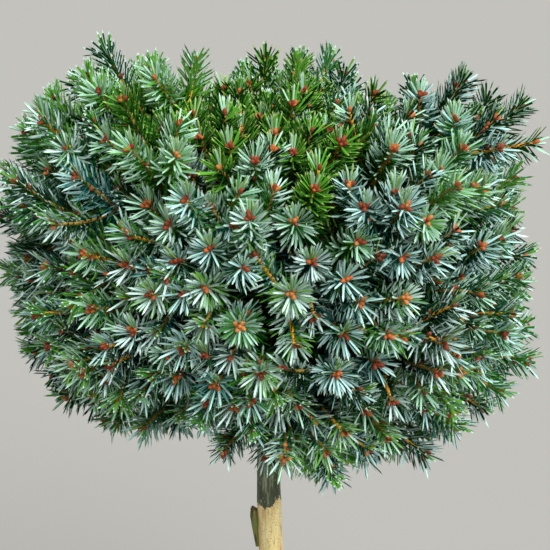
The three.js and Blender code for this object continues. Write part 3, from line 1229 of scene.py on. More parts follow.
@dataclass(frozen=True)
class ToneRule:
    """How shoots are dealt their colours: silver round the head's belt, greener beyond it.

    The belt's ends and green_from are heights from the head's centre, from -1 to 1. The shares
    are chances, and each gain is a chance that grows with the height beyond them.
    """

    belt_top: float = 0.45
    belt_foot: float = -0.3
    green_from: float = 0.6
    green_gain: float = 2.4
    mixed_share: float = 0.2
    mixed_gain: float = 1.9
    greens: tuple[Tint, ...] = (Tint.GREEN_DEEP, Tint.GREEN_MID, Tint.GREEN_FRESH)
    green_shares: tuple[float, ...] = (0.45, 0.35, 0.2)
    deep_share: float = 0.5
    # even_share is the chance that the edge takes the foot's teal, painted shade on one side of
    # each ridge.
    even_share: float = 0.3
    cool_share: float = 0.55

    def deal(self, height: float, rng: np.random.Generator) -> Tones:
        """Deals one shoot its colours.

        Args:
            height: how high the shoot's tip is, seen from the head's centre.
            rng: the source of its chances.

        Returns:
            The colours.
        """
        away = max(height - self.belt_top, self.belt_foot - height, 0)
        outer = self.greens[int(rng.choice(len(self.greens), p=self.green_shares))]
        chance = rng.random()
        if chance < self.green_gain * max(height - self.green_from, 0):
            # Green shoots: the deep green at the feet, on the edges and as the shade is painted
            # shade under the fresh green blades.
            return Tones(
                foot=Tint.GREEN_DEEP,
                blade=Tint.GREEN_FRESH,
                tip=Tint.YOUNG,
                edge=Tint.GREEN_DEEP,
                outer=outer,
                shade=Tint.GREEN_DEEP,
            )
        if chance < self.mixed_share + self.mixed_gain * away:
            # Mixed shoots: the mid green or mid teal foot and the deep green shade are painted
            # shade under the silver-green blade.
            return Tones(
                foot=Tint.GREEN_MID if away > 0 else Tint.TEAL_MID,
                blade=Tint.SILVER_GREEN,
                tip=Tint.PALE_TIP,
                edge=outer,
                outer=outer,
                shade=Tint.GREEN_DEEP,
            )
        # Silver shoots: the teal foot, deep or mid by chance, is painted shade at the needles'
        # feet.
        foot = Tint.TEAL_DEEP if rng.random() < self.deep_share else Tint.TEAL_MID
        # Painted shade: the edge, one side of the ridge, takes the foot's teal by even_share, else
        # the outer side's own green.
        edge = foot if rng.random() < self.even_share else outer
        blade = Tint.SILVER_COOL if rng.random() < self.cool_share else Tint.SILVER_PALE
        return Tones(
            foot=foot,
            blade=blade,
            tip=Tint.PALE_TIP,
            edge=edge,
            outer=outer,
            shade=Tint.TEAL_DEEP,
        )


@dataclass(frozen=True)
class ShootKind:
    """What the shoots of one kind have in common, in millimetres and degrees.

    Needles stand open at a shoot's foot and shut at its tip. Pairs are the ends of ranges. A
    share of the shoots, full_share, gets a full tuft: more young needles at the tip.
    """

    thick: float
    thin: float
    rings: int
    needles: int
    open_angle: float
    shut_angle: float
    needle_share: tuple[float, float] = (1.0, 1.0)
    tuft: tuple[int, int] = (0, 1)
    full_tuft: int = 0
    full_share: float = 0.0
    buds: tuple[int, int] = (0, 1)
    side_buds: tuple[int, int] = (0, 1)


OLD_WOOD = ShootKind(thick=1.9, thin=1.4, rings=6, needles=20, open_angle=75, shut_angle=65)
SHADED_SHOOT = ShootKind(thick=1.6, thin=1.2, rings=4, needles=50, open_angle=75, shut_angle=50)
MAIN_SHOOT = ShootKind(
    thick=1.5,
    thin=1.15,
    rings=9,
    needles=124,
    open_angle=62,
    shut_angle=46,
    needle_share=(0.94, 1.06),
    tuft=(2, 6),
    full_tuft=8,
    full_share=0.5,
    buds=(3, 6),
    side_buds=(0, 5),
)
SIDE_SHOOT = ShootKind(
    thick=1.3,
    thin=1.0,
    rings=6,
    needles=82,
    open_angle=62,
    shut_angle=46,
    needle_share=(0.85, 1.0),
    tuft=(1, 4),
    full_tuft=6,
    full_share=0.4,
    buds=(1, 5),
    side_buds=(0, 2),
)


@dataclass
class Spray:
    """One twig and what grows on it."""

    kind: ShootKind
    controls: Vec
    needle_length: float
    tones: Tones
    wood: Wood
    tuft: int = 0
    buds: int = 0
    side_buds: int = 0

    def end_way(self) -> Vec:
        """The way that its end points."""
        return unit(self.controls[-1] - self.controls[-2])

    def upper_side(self) -> float:
        """The angle round its end at which it faces up."""
        side, over = frames_of(self.end_way()[None])
        return math.atan2(over[0] @ UP, side[0] @ UP)


@dataclass
class NeedleBatch:
    """Needles that are ready to be made into faces, one a row.

    A hand is 1 or -1, for the side that a needle's ridge is on. The tones are the slots of its
    foot, blade, tip, edge and outer side.
    """

    feet: Vec
    ways: Vec
    faces_up: Vec
    lengths: Vec
    widths: Vec
    hands: Vec
    tones: Vec

    def join(self, other: "NeedleBatch") -> "NeedleBatch":
        """This batch with another's needles after its own."""
        mine, theirs = vars(self), vars(other)
        return NeedleBatch(**{key: np.concatenate([mine[key], theirs[key]]) for key in mine})

    def kept(self, keep: Vec) -> "NeedleBatch":
        """The needles that a row of true and false picks."""
        return NeedleBatch(**{key: value[keep] for key, value in vars(self).items()})


@dataclass(frozen=True)
class NeedleShape:
    """The shape of one needle: a blade, flat below and ridged above, as shares of its size."""

    ridge: float = 0.34
    ridge_at: float = 0.42
    foot: float = 0.72
    shoulder_at: float = 0.34
    blunt_at: float = 0.84
    blunt: float = 0.85
    curve: float = 0.08

    def add_to(self, parts: MeshParts, batch: NeedleBatch, plain: bool) -> None:
        """Adds every needle of a batch, each face with the tone for its place.

        A needle's points are one edge, the ridge and the other edge at its foot, the same where
        it turns blunt, its tip, and the first edge and the ridge at its shoulder.

        Args:
            parts: what they are added to.
            batch: the needles.
            plain: whether they are the plainer ones of the shaded wood, with no shoulder.
        """
        sides = batch.widths * batch.hands / 2
        across = np.cross(batch.ways, batch.faces_up) * sides[:, None]
        ridge = batch.faces_up * batch.widths[:, None] * self.ridge + across * self.ridge_at
        corners = np.stack([-across, ridge, across], axis=1)
        reach = batch.lengths[:, None]
        rings = []
        steps = ((0, self.foot), (self.blunt_at, self.blunt), (self.shoulder_at, 1))
        for at, size in steps[: 2 if plain else 3]:
            middle = batch.feet + batch.ways * reach * at
            middle = middle + batch.faces_up * reach * self.curve * at**2
            rings.append(middle[:, None] + corners * size)
        tip = batch.feet + (batch.ways + batch.faces_up * self.curve) * reach
        points = np.concatenate([*rings[:2], tip[:, None], *(r[:, :2] for r in rings[2:])], axis=1)
        base = np.arange(len(batch.feet))[:, None, None] * points.shape[1]
        foot, blade, end, edge, outer = batch.tones.T
        quads = [[1, 2, 5, 4], [2, 0, 3, 5]]
        slots = [edge, outer]
        if plain:
            quads += [[0, 1, 4, 3]]
            slots += [blade]
        else:
            quads += [[0, 1, 8, 7], [7, 8, 4, 3]]
            slots += [foot, blade]
        tips = np.array([[3, 4, 6], [4, 5, 6], [5, 3, 6]])
        parts.add_faces(base + np.array(quads), np.stack(slots, axis=1).ravel())
        parts.add(points, base + tips, np.stack([end, edge, end], axis=1).ravel())


@dataclass(frozen=True)
class NeedleSetting:
    """How needles stand on a twig.

    Places are shares of the twig's length, from its foot. Scatters, the twist and the fan are in
    radians, the tuft's opening is in degrees, and pairs are the ends of ranges.

    Needles crowd towards the tip and lie closer to the twig there, and on its upper side, where
    a parting thins them out. Their ridged sides face the tip, and down by silver_down. Before
    shaded_to they take the shade's colour, a painted shade over whole needles near the twig's
    foot that also stands for the darker green of older needles. From lit_from on they take the
    blade's colour at the foot, with no painted shade there.
    """

    stray: float = 0.8
    crowding: float = 0.85
    first_at: float = 0.02
    span: float = 0.97
    closing: float = 1.5
    opening_scatter: float = 0.09
    turn_scatter: float = 0.12
    upper_lean: float = 0.2
    least_length: float = 0.86
    swell: float = 0.14
    swell_reach: float = 1.15
    lengths: tuple[float, float] = (0.9, 1.08)
    width: float = 1.66
    widths: tuple[float, float] = (0.88, 1.1)
    foot_out: float = 0.8
    lift: float = 0.06
    twist: float = 0.25
    silver_down: float = 0.45
    lit_from: float = 0.86
    shaded_to: float = 0.38
    parting: float = 0.8
    parted_from: float = 0.34
    parted_to: float = 0.85
    tuft_at: tuple[float, float] = (0.94, 1.0)
    tuft_fan: float = 0.6
    tuft_opening: tuple[float, float] = (14, 46)
    tuft_lengths: tuple[float, float] = (0.6, 0.9)

    def needles(self, spray: Spray, rng: np.random.Generator) -> NeedleBatch:
        """Sets a spray's needles round its twig, with a tuft of young ones at the end.

        Args:
            spray: the twig.
            rng: the source of their chances.

        Returns:
            The needles.
        """
        kind = spray.kind
        count = kind.needles
        shares = (np.arange(count) + rng.uniform(0, self.stray, count)) / count
        shares = shares**self.crowding * self.span + self.first_at
        opening = np.radians(mix(kind.open_angle, kind.shut_angle, shares**self.closing))
        opening += rng.normal(0, self.opening_scatter, count)
        turn = rng.uniform(0, FULL_TURN) + np.arange(count) * GOLDEN_ANGLE
        turn += rng.normal(0, self.turn_scatter, count)
        opening *= 1 - self.upper_lean * np.cos(turn - spray.upper_side())
        belly = np.sin(np.clip(shares * self.swell_reach, 0, 1) * math.pi)
        lengths = spray.needle_length * (self.least_length + self.swell * belly)
        lengths = lengths * rng.uniform(*self.lengths, count)
        batch = self._set_round(spray, shares, turn, opening, lengths, spray.tones, rng)
        if not spray.tuft:
            return batch
        ends = rng.uniform(*self.tuft_at, spray.tuft)
        turn = spray.upper_side() + rng.normal(0, self.tuft_fan, spray.tuft)
        close = np.radians(rng.uniform(*self.tuft_opening, spray.tuft))
        short = spray.needle_length * rng.uniform(*self.tuft_lengths, spray.tuft)
        return batch.join(self._set_round(spray, ends, turn, close, short, YOUNG_TONES, rng))

    def _set_round(
        self,
        spray: Spray,
        shares: Vec,
        turn: Vec,
        opening: Vec,
        lengths: Vec,
        tones: Tones,
        rng: np.random.Generator,
    ) -> NeedleBatch:
        """Sets needles round a twig, fewer along its upper side.

        Args:
            spray: the twig.
            shares: where along it each needle stands, from 0 to 1.
            turn: where round it, in radians.
            opening: the angle between each needle and the twig, in radians.
            lengths: how long each is.
            tones: their colours.
            rng: the source of their chances.

        Returns:
            The needles.
        """
        count = len(shares)
        points = along(spray.controls, shares)
        tangents = ways_along(spray.controls, shares)
        side, over = frames_of(tangents)
        out = side * np.cos(turn)[:, None] + over * np.sin(turn)[:, None]
        ways = tangents * np.cos(opening)[:, None] + out * np.sin(opening)[:, None]
        ways = unit(ways + UP * self.lift)
        facing = tangents - UP * self.silver_down
        inner = unit(facing - ways * np.sum(facing * ways, axis=1, keepdims=True))
        twist = rng.normal(0, self.twist, count)[:, None]
        inner = inner * np.cos(twist) + np.cross(ways, inner) * np.sin(twist)
        radius = mix(spray.kind.thick, spray.kind.thin, shares)[:, None]
        above = np.clip((out[:, 2] - self.parted_from) / (1 - self.parted_from), 0, 1)
        parted = above * self.parting * (shares < self.parted_to)
        row = (tones.foot, tones.blade, tones.tip, tones.edge, tones.outer)
        dealt = np.tile([tint.value for tint in row], (count, 1))
        # Near the twig's lit tip the foot takes the blade's colour, with no painted shade at it.
        dealt[shares > self.lit_from, 0] = tones.blade.value
        # Painted shade: needles near the twig's foot, deep in the head, take the shade's dark tone,
        # as older needles are also darker.
        dealt[shares < self.shaded_to, :3] = tones.shade.value
        return NeedleBatch(
            feet=points + out * radius * self.foot_out,
            ways=ways,
            faces_up=inner,
            lengths=lengths,
            widths=self.width * rng.uniform(*self.widths, count),
            hands=rng.choice([-1, 1], count),
            tones=dealt,
        ).kept(rng.random(count) > parted)


@dataclass(frozen=True)
class Buds:
    """The shape of a bud, a pointed egg, and how buds stand on a shoot.

    Sizes are in millimetres, and the profile gives rings as shares of them. A bud leans from the
    shoot by an angle in degrees. Pairs are the ends of ranges.
    """

    length: float = 4.7
    radius: float = 1.75
    sides: int = 5
    profile: tuple[tuple[float, float], ...] = ((0.0, 0.75), (0.38, 1.0), (0.78, 0.68))
    sizes: tuple[float, float] = (0.72, 1.0)
    lean: tuple[float, float] = (30, 55)
    side_lean: tuple[float, float] = (35, 60)
    side_back: tuple[float, float] = (0.08, 0.4)
    foot_out: float = 0.7
    shares: tuple[float, ...] = (0.4, 0.4, 0.2)
    red_share: float = 0.3

    def add_cluster(self, parts: MeshParts, spray: Spray, rng: np.random.Generator) -> None:
        """Adds the cluster of buds at a spray's tip, and the few that sit along its twig.

        Args:
            parts: what they are added to.
            spray: the shoot.
            rng: the source of their chances.
        """
        axis = spray.end_way()
        side, over = across_of(axis)
        count = spray.buds
        turn = rng.uniform(0, FULL_TURN) + np.arange(count) * FULL_TURN / max(count - 1, 1)
        lean = np.radians(rng.uniform(*self.lean, count))
        lean[0] = 0
        places = np.concatenate([np.ones(count), 1 - rng.uniform(*self.side_back, spray.side_buds)])
        turn = np.concatenate([turn, rng.uniform(0, FULL_TURN, spray.side_buds)])
        lean = np.concatenate([lean, np.radians(rng.uniform(*self.side_lean, spray.side_buds))])
        out = np.array([around(side, over, angle) for angle in turn])
        ways = unit(axis * np.cos(lean)[:, None] + out * np.sin(lean)[:, None])
        points = along(spray.controls, places)
        feet = points + out * spray.kind.thin * self.foot_out * (lean > 0)[:, None]
        sizes = rng.uniform(*self.sizes, len(turn))
        slots = np.full(len(turn), int(rng.choice(len(self.shares), p=self.shares)))
        slots = np.where(rng.random(len(turn)) < self.red_share, BudTint.RED_BROWN.value, slots)
        self._add_eggs(parts, feet, ways, sizes, slots)

    def _add_eggs(self, parts: MeshParts, feet: Vec, ways: Vec, sizes: Vec, slots: Vec) -> None:
        """Adds one bud at each foot.

        Args:
            parts: what they are added to.
            feet: where the buds start.
            ways: the way each points.
            sizes: each one's size, as a share of the full one.
            slots: each one's material slot.
        """
        side = unit(np.cross(np.where(np.abs(ways[:, 2:]) < STEEP, UP, AHEAD), ways))
        out = ring_ways(side, np.cross(ways, side), self.sides)
        rings = []
        for share, width in self.profile:
            centre = feet + ways * (share * self.length * sizes)[:, None]
            rings.append(centre[:, None] + out * (width * self.radius * sizes)[:, None, None])
        tip = feet + ways * (self.length * sizes)[:, None]
        points = np.concatenate([*rings, tip[:, None]], axis=1)
        count = points.shape[1]
        base = np.arange(len(feet))[:, None, None] * count
        quads = grid_faces(len(self.profile), self.sides)
        ends = fan_faces(count - 1 - self.sides, self.sides, count - 1, outwards=True)
        parts.add_faces(base + quads, np.repeat(slots, len(quads)))
        parts.add(points, base + ends, np.repeat(slots, len(ends)))


def seat(piece: bpy.types.Object, slot: str, *nodes: str) -> None:
    """Joins a piece to the frame and reports it.

    Args:
        piece: the new piece.
        slot: the name of a material slot; not used.
        nodes: the solids that it stands for.
    """
    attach(piece, "root")
    if nodes:
        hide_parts(*nodes)
    mesh = piece.data
    log.info("%s: %d triangles", piece.name, len(mesh.loops) - 2 * len(mesh.polygons))


class Quarter(Enum):
    """The quarters of a tier. Each value counts the right angles from +X to its middle."""

    RIGHT = 0
    BACK = 1
    LEFT = 2
    FRONT = 3


@dataclass
class Crown:
    """The head's twigs, needles and buds, which grow on from the hubs of its masses.

    Lengths are in millimetres and angles in degrees, pairs are the ends of ranges, and side
    shoots start and reach by shares of the main shoot and of the outline. The tips are those of
    the shoots placed so far.
    """

    growth: Growth
    seed: int = 7
    gaps: GapRule = GapRule()
    tone_rule: ToneRule = ToneRule()
    setting: NeedleSetting = NeedleSetting()
    needle: NeedleShape = NeedleShape()
    buds: Buds = Buds()
    needle_length: float = 16.8
    twig_sides: int = 5
    twig_bumps: float = 0.1
    orange_share: float = 0.4
    pull: float = 0.33
    main_sway: float = 3
    main_rise: float = 1.5
    shaded_shoots: int = 7
    shaded_lean: tuple[float, float] = (20, 100)
    shaded_length: tuple[float, float] = (28, 44)
    shaded_gain: float = 14
    side_shoots: int = 2
    side_tries: int = 12
    side_from: tuple[float, float] = (0.12, 0.45)
    side_opening: tuple[float, float] = (34, 58)
    side_length: tuple[float, float] = (0.5, 0.78)
    side_rise: float = 0.1
    side_bow: float = 0.35
    side_reach: float = 0.95
    same_tones: float = 0.6
    depth_cost: float = 0.5
    stem_clearance: float = 10.0
    tips: list[Vec] = field(default_factory=list)

    def build(self) -> None:
        """Builds and dresses every piece of the head's foliage."""
        rng = np.random.default_rng(self.seed)
        log.info("shoots added where light gets in: %d", self.growth.fill_gaps(self.gaps))
        self.tips = [shoot.tip for mass in self.growth.masses for shoot in mass.shoots]
        needle_materials = materials_of(NEEDLE_FINISHES)
        bud_materials = materials_of(BUD_FINISHES)
        twig_materials = materials_of(TWIG_FINISHES)
        for tier in TIERS:
            twigs, buds = MeshParts(), MeshParts()
            for quarter in Quarter:
                masses = [m for m in self.growth.masses if self._is_in(m, tier.name, quarter)]
                sprays = [spray for mass in masses for spray in self._sprays(mass, rng)]
                needles = MeshParts()
                for spray in sprays:
                    self._dress(spray, needles, twigs, buds, rng)
                name = f"needles_{tier.name}_{quarter.name.lower()}"
                piece = needles.build(name, needle_materials, smooth=False)
                seat(piece, "needles", *(f"foliage_{m.name}" for m in masses))
            seat(twigs.build(f"twigs_{tier.name}", twig_materials, smooth=True), "bough_bark")
            seat(buds.build(f"buds_{tier.name}", bud_materials, smooth=True), "needles")

    @staticmethod
    def _is_in(mass: Mass, tier: str, quarter: Quarter) -> bool:
        """Whether a mass is in one quarter of a tier."""
        turns = round(mass.azimuth / RIGHT_ANGLE)
        return mass.tier == tier and turns % len(Quarter) == quarter.value

    def _dress(
        self,
        spray: Spray,
        needles: MeshParts,
        twigs: MeshParts,
        buds: MeshParts,
        rng: np.random.Generator,
    ) -> None:
        """Adds a spray to the meshes of its quarter and its tier.

        Args:
            spray: the spray.
            needles: the quarter's needles.
            twigs: the tier's twigs.
            buds: the tier's buds.
            rng: the source of its chances.
        """
        kind = spray.kind
        batch = self._clear_of_stem(self.setting.needles(spray, rng))
        self.needle.add_to(needles, batch, plain=spray.tones is OLD_AND_SHADE_TONES)
        radii = mix(kind.thick, kind.thin, np.linspace(0, 1, kind.rings))
        add_tube(twigs, spray.controls, radii, self.twig_sides, self.twig_bumps, spray.wood.value)
        if spray.buds:
            self.buds.add_cluster(buds, spray, rng)

    def _clear_of_stem(self, batch: NeedleBatch) -> NeedleBatch:
        """The needles of a batch whose tips stay clear of the stem.

        Args:
            batch: the needles.

        Returns:
            Those that are kept.
        """
        ends = batch.feet + batch.ways * batch.lengths[:, None]
        beside = np.hypot(ends[:, 0], ends[:, 1]) > self.stem_clearance
        return batch.kept(beside | (ends[:, 2] > self.growth.stem_top + self.stem_clearance))

    def _sprays(self, mass: Mass, rng: np.random.Generator) -> list[Spray]:
        """Grows a mass out from its hub.

        Args:
            mass: the mass.
            rng: the source of its chances.

        Returns:
            Its twigs, each main shoot's older wood first.
        """
        sprays = []
        for shoot in mass.shoots:
            tones = self._tones(shoot, rng)
            controls = bend_from(mass.hub, mass.direction, shoot.root, shoot.axis, self.pull)
            # The old wood's needles take near-black tones, painted shade deep inside the mass.
            sprays.append(Spray(OLD_WOOD, controls, self.needle_length, OLD_AND_SHADE_TONES, Wood.OLD))
            side, over = across_of(shoot.axis)
            sway = around(side, over, rng.uniform(0, FULL_TURN)) * rng.uniform(0, self.main_sway)
            middle = (shoot.root + shoot.tip) / 2 + sway + UP * self.main_rise
            controls = np.array([shoot.root, middle, shoot.tip])
            length = self.needle_length * rng.uniform(*MAIN_SHOOT.needle_share)
            sprays.append(self._lit_spray(MAIN_SHOOT, controls, length, tones, rng))
            sprays.extend(self._side_sprays(mass, shoot, tones, rng))
        sprays.extend(self._shaded_spray(mass, rng) for _ in range(self.shaded_shoots))
        return sprays

    def _lit_spray(
        self,
        kind: ShootKind,
        controls: Vec,
        needle_length: float,
        tones: Tones,
        rng: np.random.Generator,
    ) -> Spray:
        """Gives a shoot that stands in the light its wood, its tuft and its buds.

        Args:
            kind: the shoot's kind.
            controls: the control points of its twig.
            needle_length: how long its needles are.
            tones: their colours.
            rng: the source of its chances.

        Returns:
            The shoot.
        """
        return Spray(
            kind=kind,
            controls=controls,
            needle_length=needle_length,
            tones=tones,
            wood=Wood.TAN if rng.random() > self.orange_share else Wood.ORANGE,
            tuft=int(rng.integers(*kind.tuft) + kind.full_tuft * (rng.random() < kind.full_share)),
            buds=int(rng.integers(*kind.buds)),
            side_buds=int(rng.integers(*kind.side_buds)),
        )

    def _shaded_spray(self, mass: Mass, rng: np.random.Generator) -> Spray:
        """Grows one shaded shoot that stays deep inside a mass.

        Args:
            mass: the mass.
            rng: the source of its chances.

        Returns:
            The shoot.
        """
        side, over = across_of(mass.direction)
        lean = math.radians(rng.uniform(*self.shaded_lean))
        out = around(side, over, rng.uniform(0, FULL_TURN))
        way = mass.direction * math.cos(lean) + out * math.sin(lean)
        least, most = self.shaded_length
        end = mass.hub + way * rng.uniform(least, most + self.shaded_gain * math.cos(lean))
        controls = bend_from(mass.hub, mass.direction, end, way, self.pull)
        # Its needles take near-black tones, painted shade deep inside the mass.
        return Spray(SHADED_SHOOT, controls, self.needle_length, OLD_AND_SHADE_TONES, Wood.OLD)

    def _side_sprays(
        self, mass: Mass, shoot: Shoot, tones: Tones, rng: np.random.Generator
    ) -> list[Spray]:
        """Grows the side shoots of one main shoot, each where it has the most room.

        Args:
            mass: the mass that it belongs to.
            shoot: the main shoot.
            tones: the colours of the main shoot's needles.
            rng: the source of their chances.

        Returns:
            The side shoots.
        """
        sprays = []
        for _ in range(self.side_shoots):
            tries = [self._side_curve(mass, shoot, rng) for _ in range(self.side_tries)]
            best = max(tries, key=self._room_at_tip)
            self.tips.append(best[-1])
            length = self.needle_length * rng.uniform(*SIDE_SHOOT.needle_share)
            dealt = tones if rng.random() < self.same_tones else self._tones(shoot, rng)
            sprays.append(self._lit_spray(SIDE_SHOOT, best, length, dealt, rng))
        return sprays

    def _side_curve(self, mass: Mass, shoot: Shoot, rng: np.random.Generator) -> Vec:
        """The control points of a side shoot that could grow from a main shoot.

        Args:
            mass: the mass that they belong to.
            shoot: the main shoot.
            rng: the source of their chances.

        Returns:
            Its control points, drawn in to the mass's reach.
        """
        side, over = across_of(shoot.axis)
        start = mix(shoot.root, shoot.tip, rng.uniform(*self.side_from))
        out = around(side, over, rng.uniform(0, FULL_TURN))
        spread = math.radians(rng.uniform(*self.side_opening))
        length = shoot.length * rng.uniform(*self.side_length)
        way = shoot.axis * math.cos(spread) + out * math.sin(spread) + UP * self.side_rise
        way = unit(way)
        end = self._inside_reach(mass, start + way * length)
        middle = start + unit(way + out * self.side_bow) * length / 2
        return np.array([start, middle, end])

    def _room_at_tip(self, controls: Vec) -> float:
        """How much room a side shoot has: how far its tip is from others, and how far out.

        Args:
            controls: the control points of its twig.

        Returns:
            The distance to the nearest tip, less a share of the depth inside the outline.
        """
        tip = controls[-1]
        apart = float(np.linalg.norm(np.array(self.tips) - tip, axis=1).min())
        away = tip - self.growth.centre
        far = float(np.linalg.norm(away))
        return apart - self.depth_cost * max(0.0, self.growth.outline(away / far) - far)

    def _inside_reach(self, mass: Mass, point: Vec) -> Vec:
        """A point, drawn in where it would stand further out than its mass reaches.

        Args:
            mass: the mass.
            point: the point.

        Returns:
            The point, or the one on the mass's outline.
        """
        away = point - self.growth.centre
        far = float(np.linalg.norm(away))
        way = away / far
        limit = self.growth.outline(way) * mass.reach * self.growth.fullness(way)
        return self.growth.centre + away * min(1.0, limit * self.side_reach / far)

    def _tones(self, shoot: Shoot, rng: np.random.Generator) -> Tones:
        """Deals a shoot its colours by how high its tip is."""
        return self.tone_rule.deal(unit(shoot.tip - self.growth.centre)[2], rng)


@dataclass(frozen=True)
class Relief:
    """Rough ground on the stem: its height, and the grain round the stem and along it."""

    height: float
    across: float
    length: float

    def at(self, out: Vector, z: float) -> float:
        """How far it stands out at a place: the way out from the axis, and the height."""
        return self.height * noise.noise(out * self.across + UP_VECTOR * (z / self.length))


@dataclass
class Stem:
    """The stem: the stock's pale bark below the graft union, the scion's dark bark above.

    Each lobe of the root flare has its height, how many there are round the stem, and where they
    start, in radians. The rag is the edge of the stock's bark, which stands higher on one side.
    """

    sizes: TrunkSizes
    sides: int = 72
    coarse_step: float = 3.2
    fine_step: float = 1.2
    fine_from: float = 452.0
    fine_to: float = 545.0
    lobes: tuple[tuple[float, int, float], ...] = ((1.6, 5, 0.6), (0.8, 3, 0.0))
    lobe_height: float = 16.0
    ledge: float = 0.5
    ledge_height: float = 60.0
    rag_side: float = 318.0
    rag_width: float = 26.0
    rag_rise: float = 7.0
    teeth: Relief = Relief(height=3.2, across=4.0, length=1.0)
    fine_teeth: Relief = Relief(height=2.4, across=11.0, length=1.0)
    fine_teeth_at: float = 5.0
    scion_grain: Relief = Relief(height=0.16, across=5.0, length=9.0)
    fibres: Relief = Relief(height=0.34, across=6.0, length=26.0)
    plates: Relief = Relief(height=0.22, across=2.6, length=8.0)

    def build(self) -> None:
        """Builds and dresses the stem."""
        s = self.sizes
        heights = np.concatenate(
            [
                np.arange(s.foot_height, self.fine_from, self.coarse_step),
                np.arange(self.fine_from, self.fine_to, self.fine_step),
                np.arange(self.fine_to, s.top_height, self.coarse_step),
                [s.top_height],
            ]
        )
        turn = ring_turns(self.sides)
        rags = np.array([self._rag(angle) for angle in turn])
        centres = s.centres(heights)
        out = ring_ways(AHEAD[None], ASIDE[None], self.sides)[0]
        rings = []
        for z, centre, radius in zip(heights, centres, s.radii(heights)):
            reach = [self._reach(z, radius, angle, rag) for angle, rag in zip(turn, rags)]
            rings.append(centre + out * np.array(reach)[:, None])
        middles = (heights[1:] + heights[:-1]) / 2
        scion = middles[:, None] > (rags + np.roll(rags, -1))[None, :] / 2
        ends = np.array([centres[0], centres[-1] + UP * s.tip_radius * TUBE_END])
        parts = MeshParts()
        add_rings(parts, np.concatenate(rings), self.sides, ends, scion.astype(int).ravel())
        barks = [STOCK_BARK.material(), SCION_BARK.material()]
        seat(parts.build("stem", barks, smooth=True), "stem_bark", "trunk")

    def _rag(self, angle: float) -> float:
        """How high the stock's ragged bark reaches, at an angle round the stem.

        Args:
            angle: the angle, in radians.

        Returns:
            The height, in millimetres.
        """
        away = (math.degrees(angle) - self.rag_side + 180) % 360 - 180
        out = Vector((math.cos(angle), math.sin(angle), 0))
        teeth = self.teeth.at(out, 0) + self.fine_teeth.at(out, self.fine_teeth_at)
        rise = self.rag_rise * math.exp(-((away / self.rag_width) ** 2))
        return self.sizes.union_height + rise + teeth

    def _reach(self, z: float, radius: float, angle: float, rag: float) -> float:
        """How far the bark's surface is from the stem's axis.

        Args:
            z: the height.
            radius: the stem's plain radius there.
            angle: the angle round the stem.
            rag: how high the stock's bark reaches at that angle.

        Returns:
            The distance, in millimetres.
        """
        out = Vector((math.cos(angle), math.sin(angle), 0))
        if z > rag:
            return radius + self.scion_grain.at(out, z)
        foot = math.exp((self.sizes.foot_height - z) / self.lobe_height)
        lobes = sum(high * foot * math.cos(n * angle + start) for high, n, start in self.lobes)
        ledge = self.ledge * math.exp(-max(0.0, rag - z) / self.ledge_height)
        return radius + lobes + self.fibres.at(out, z) + self.plates.at(out, z) + ledge


@dataclass
class GraftStub:
    """A stub of the stock, left standing beside the graft union, worn and ragged at its top.

    It leans out from foot_at to top_at beside the stem. Above whole_to, a share of its length,
    it wears away. Grain is in waves to a millimetre.
    """

    union_height: float
    drop: float = 6.0
    length: float = 30.0
    foot_radius: float = 1.5
    top_radius: float = 3.7
    foot_at: float = -8.2
    top_at: float = -10.4
    depth_at: float = -1.0
    whole_to: float = 0.8
    worn: float = 0.3
    uneven: float = 0.2
    grain_across: float = 1.6
    grain_along: float = 0.14
    rag: float = 2.6
    rag_grain: float = 2.5
    sides: int = 24
    rings: int = 26

    def build(self) -> None:
        """Builds and dresses the stub."""
        high = self.union_height - self.drop
        foot = np.array([self.foot_at, self.depth_at, high - self.length])
        top = np.array([self.top_at, self.depth_at, high])
        points = []
        for share in np.linspace(0, 1, self.rings):
            middle = mix(foot, top, share)
            end = max(0.0, share - self.whole_to) / (1 - self.whole_to)
            radius = mix(self.foot_radius, self.top_radius, share) * (1 - self.worn * end)
            for angle in ring_turns(self.sides):
                out = around(AHEAD, ASIDE, angle)
                at = Vector(out * self.grain_across + UP * middle[2] * self.grain_along)
                reach = radius * (1 + self.uneven * noise.noise(at))
                ragged = self.rag * end * noise.noise(at * self.rag_grain)
                points.append(middle + out * reach + UP * ragged)
        parts = MeshParts()
        add_rings(parts, np.array(points), self.sides, np.array([foot, top]))
        piece = parts.build("graft_stub", [STUB_BARK.material()], smooth=True)
        seat(piece, "stem_bark", "graft_tongue")


@dataclass
class Boughs:
    """The boughs, from their collars on the stem to the hubs where the masses fan out.

    A collar adds to a bough's radius at its root, and knots make it uneven. The collar's reach is
    a share of the bough's length.
    """

    growth: Growth
    collar: float = 1.7
    collar_reach: float = 0.22
    knot: float = 0.3
    knots: float = 9

    def build(self) -> None:
        """Builds and dresses every bough as one piece."""
        sizes = self.growth.boughs
        parts = MeshParts()
        names = []
        for mass in self.growth.masses:
            hub_stem = bend_from(mass.entry, mass.direction, mass.hub, mass.direction, sizes.pull)
            radii = np.linspace(sizes.tip_radius, sizes.hub_radius, sizes.hub_rings)
            add_tube(parts, hub_stem, radii, sizes.sides)
            if mass.fork is None:
                continue
            shares = np.linspace(0, 1, sizes.rings)
            radii = mix(sizes.root_radius, sizes.tip_radius, shares)
            radii = radii + self.collar * np.exp(-shares / self.collar_reach)
            places = [Vector((mass.fork, 0, share * self.knots)) for share in shares]
            radii = radii + self.knot * np.array([noise.noise(place) for place in places])
            add_tube(parts, self.growth.bough_curve(mass), radii, sizes.sides)
            names.append(f"bough_{mass.name}")
        piece = parts.build("boughs", [BOUGH_BARK.material()], smooth=True)
        seat(piece, "bough_bark", *names)


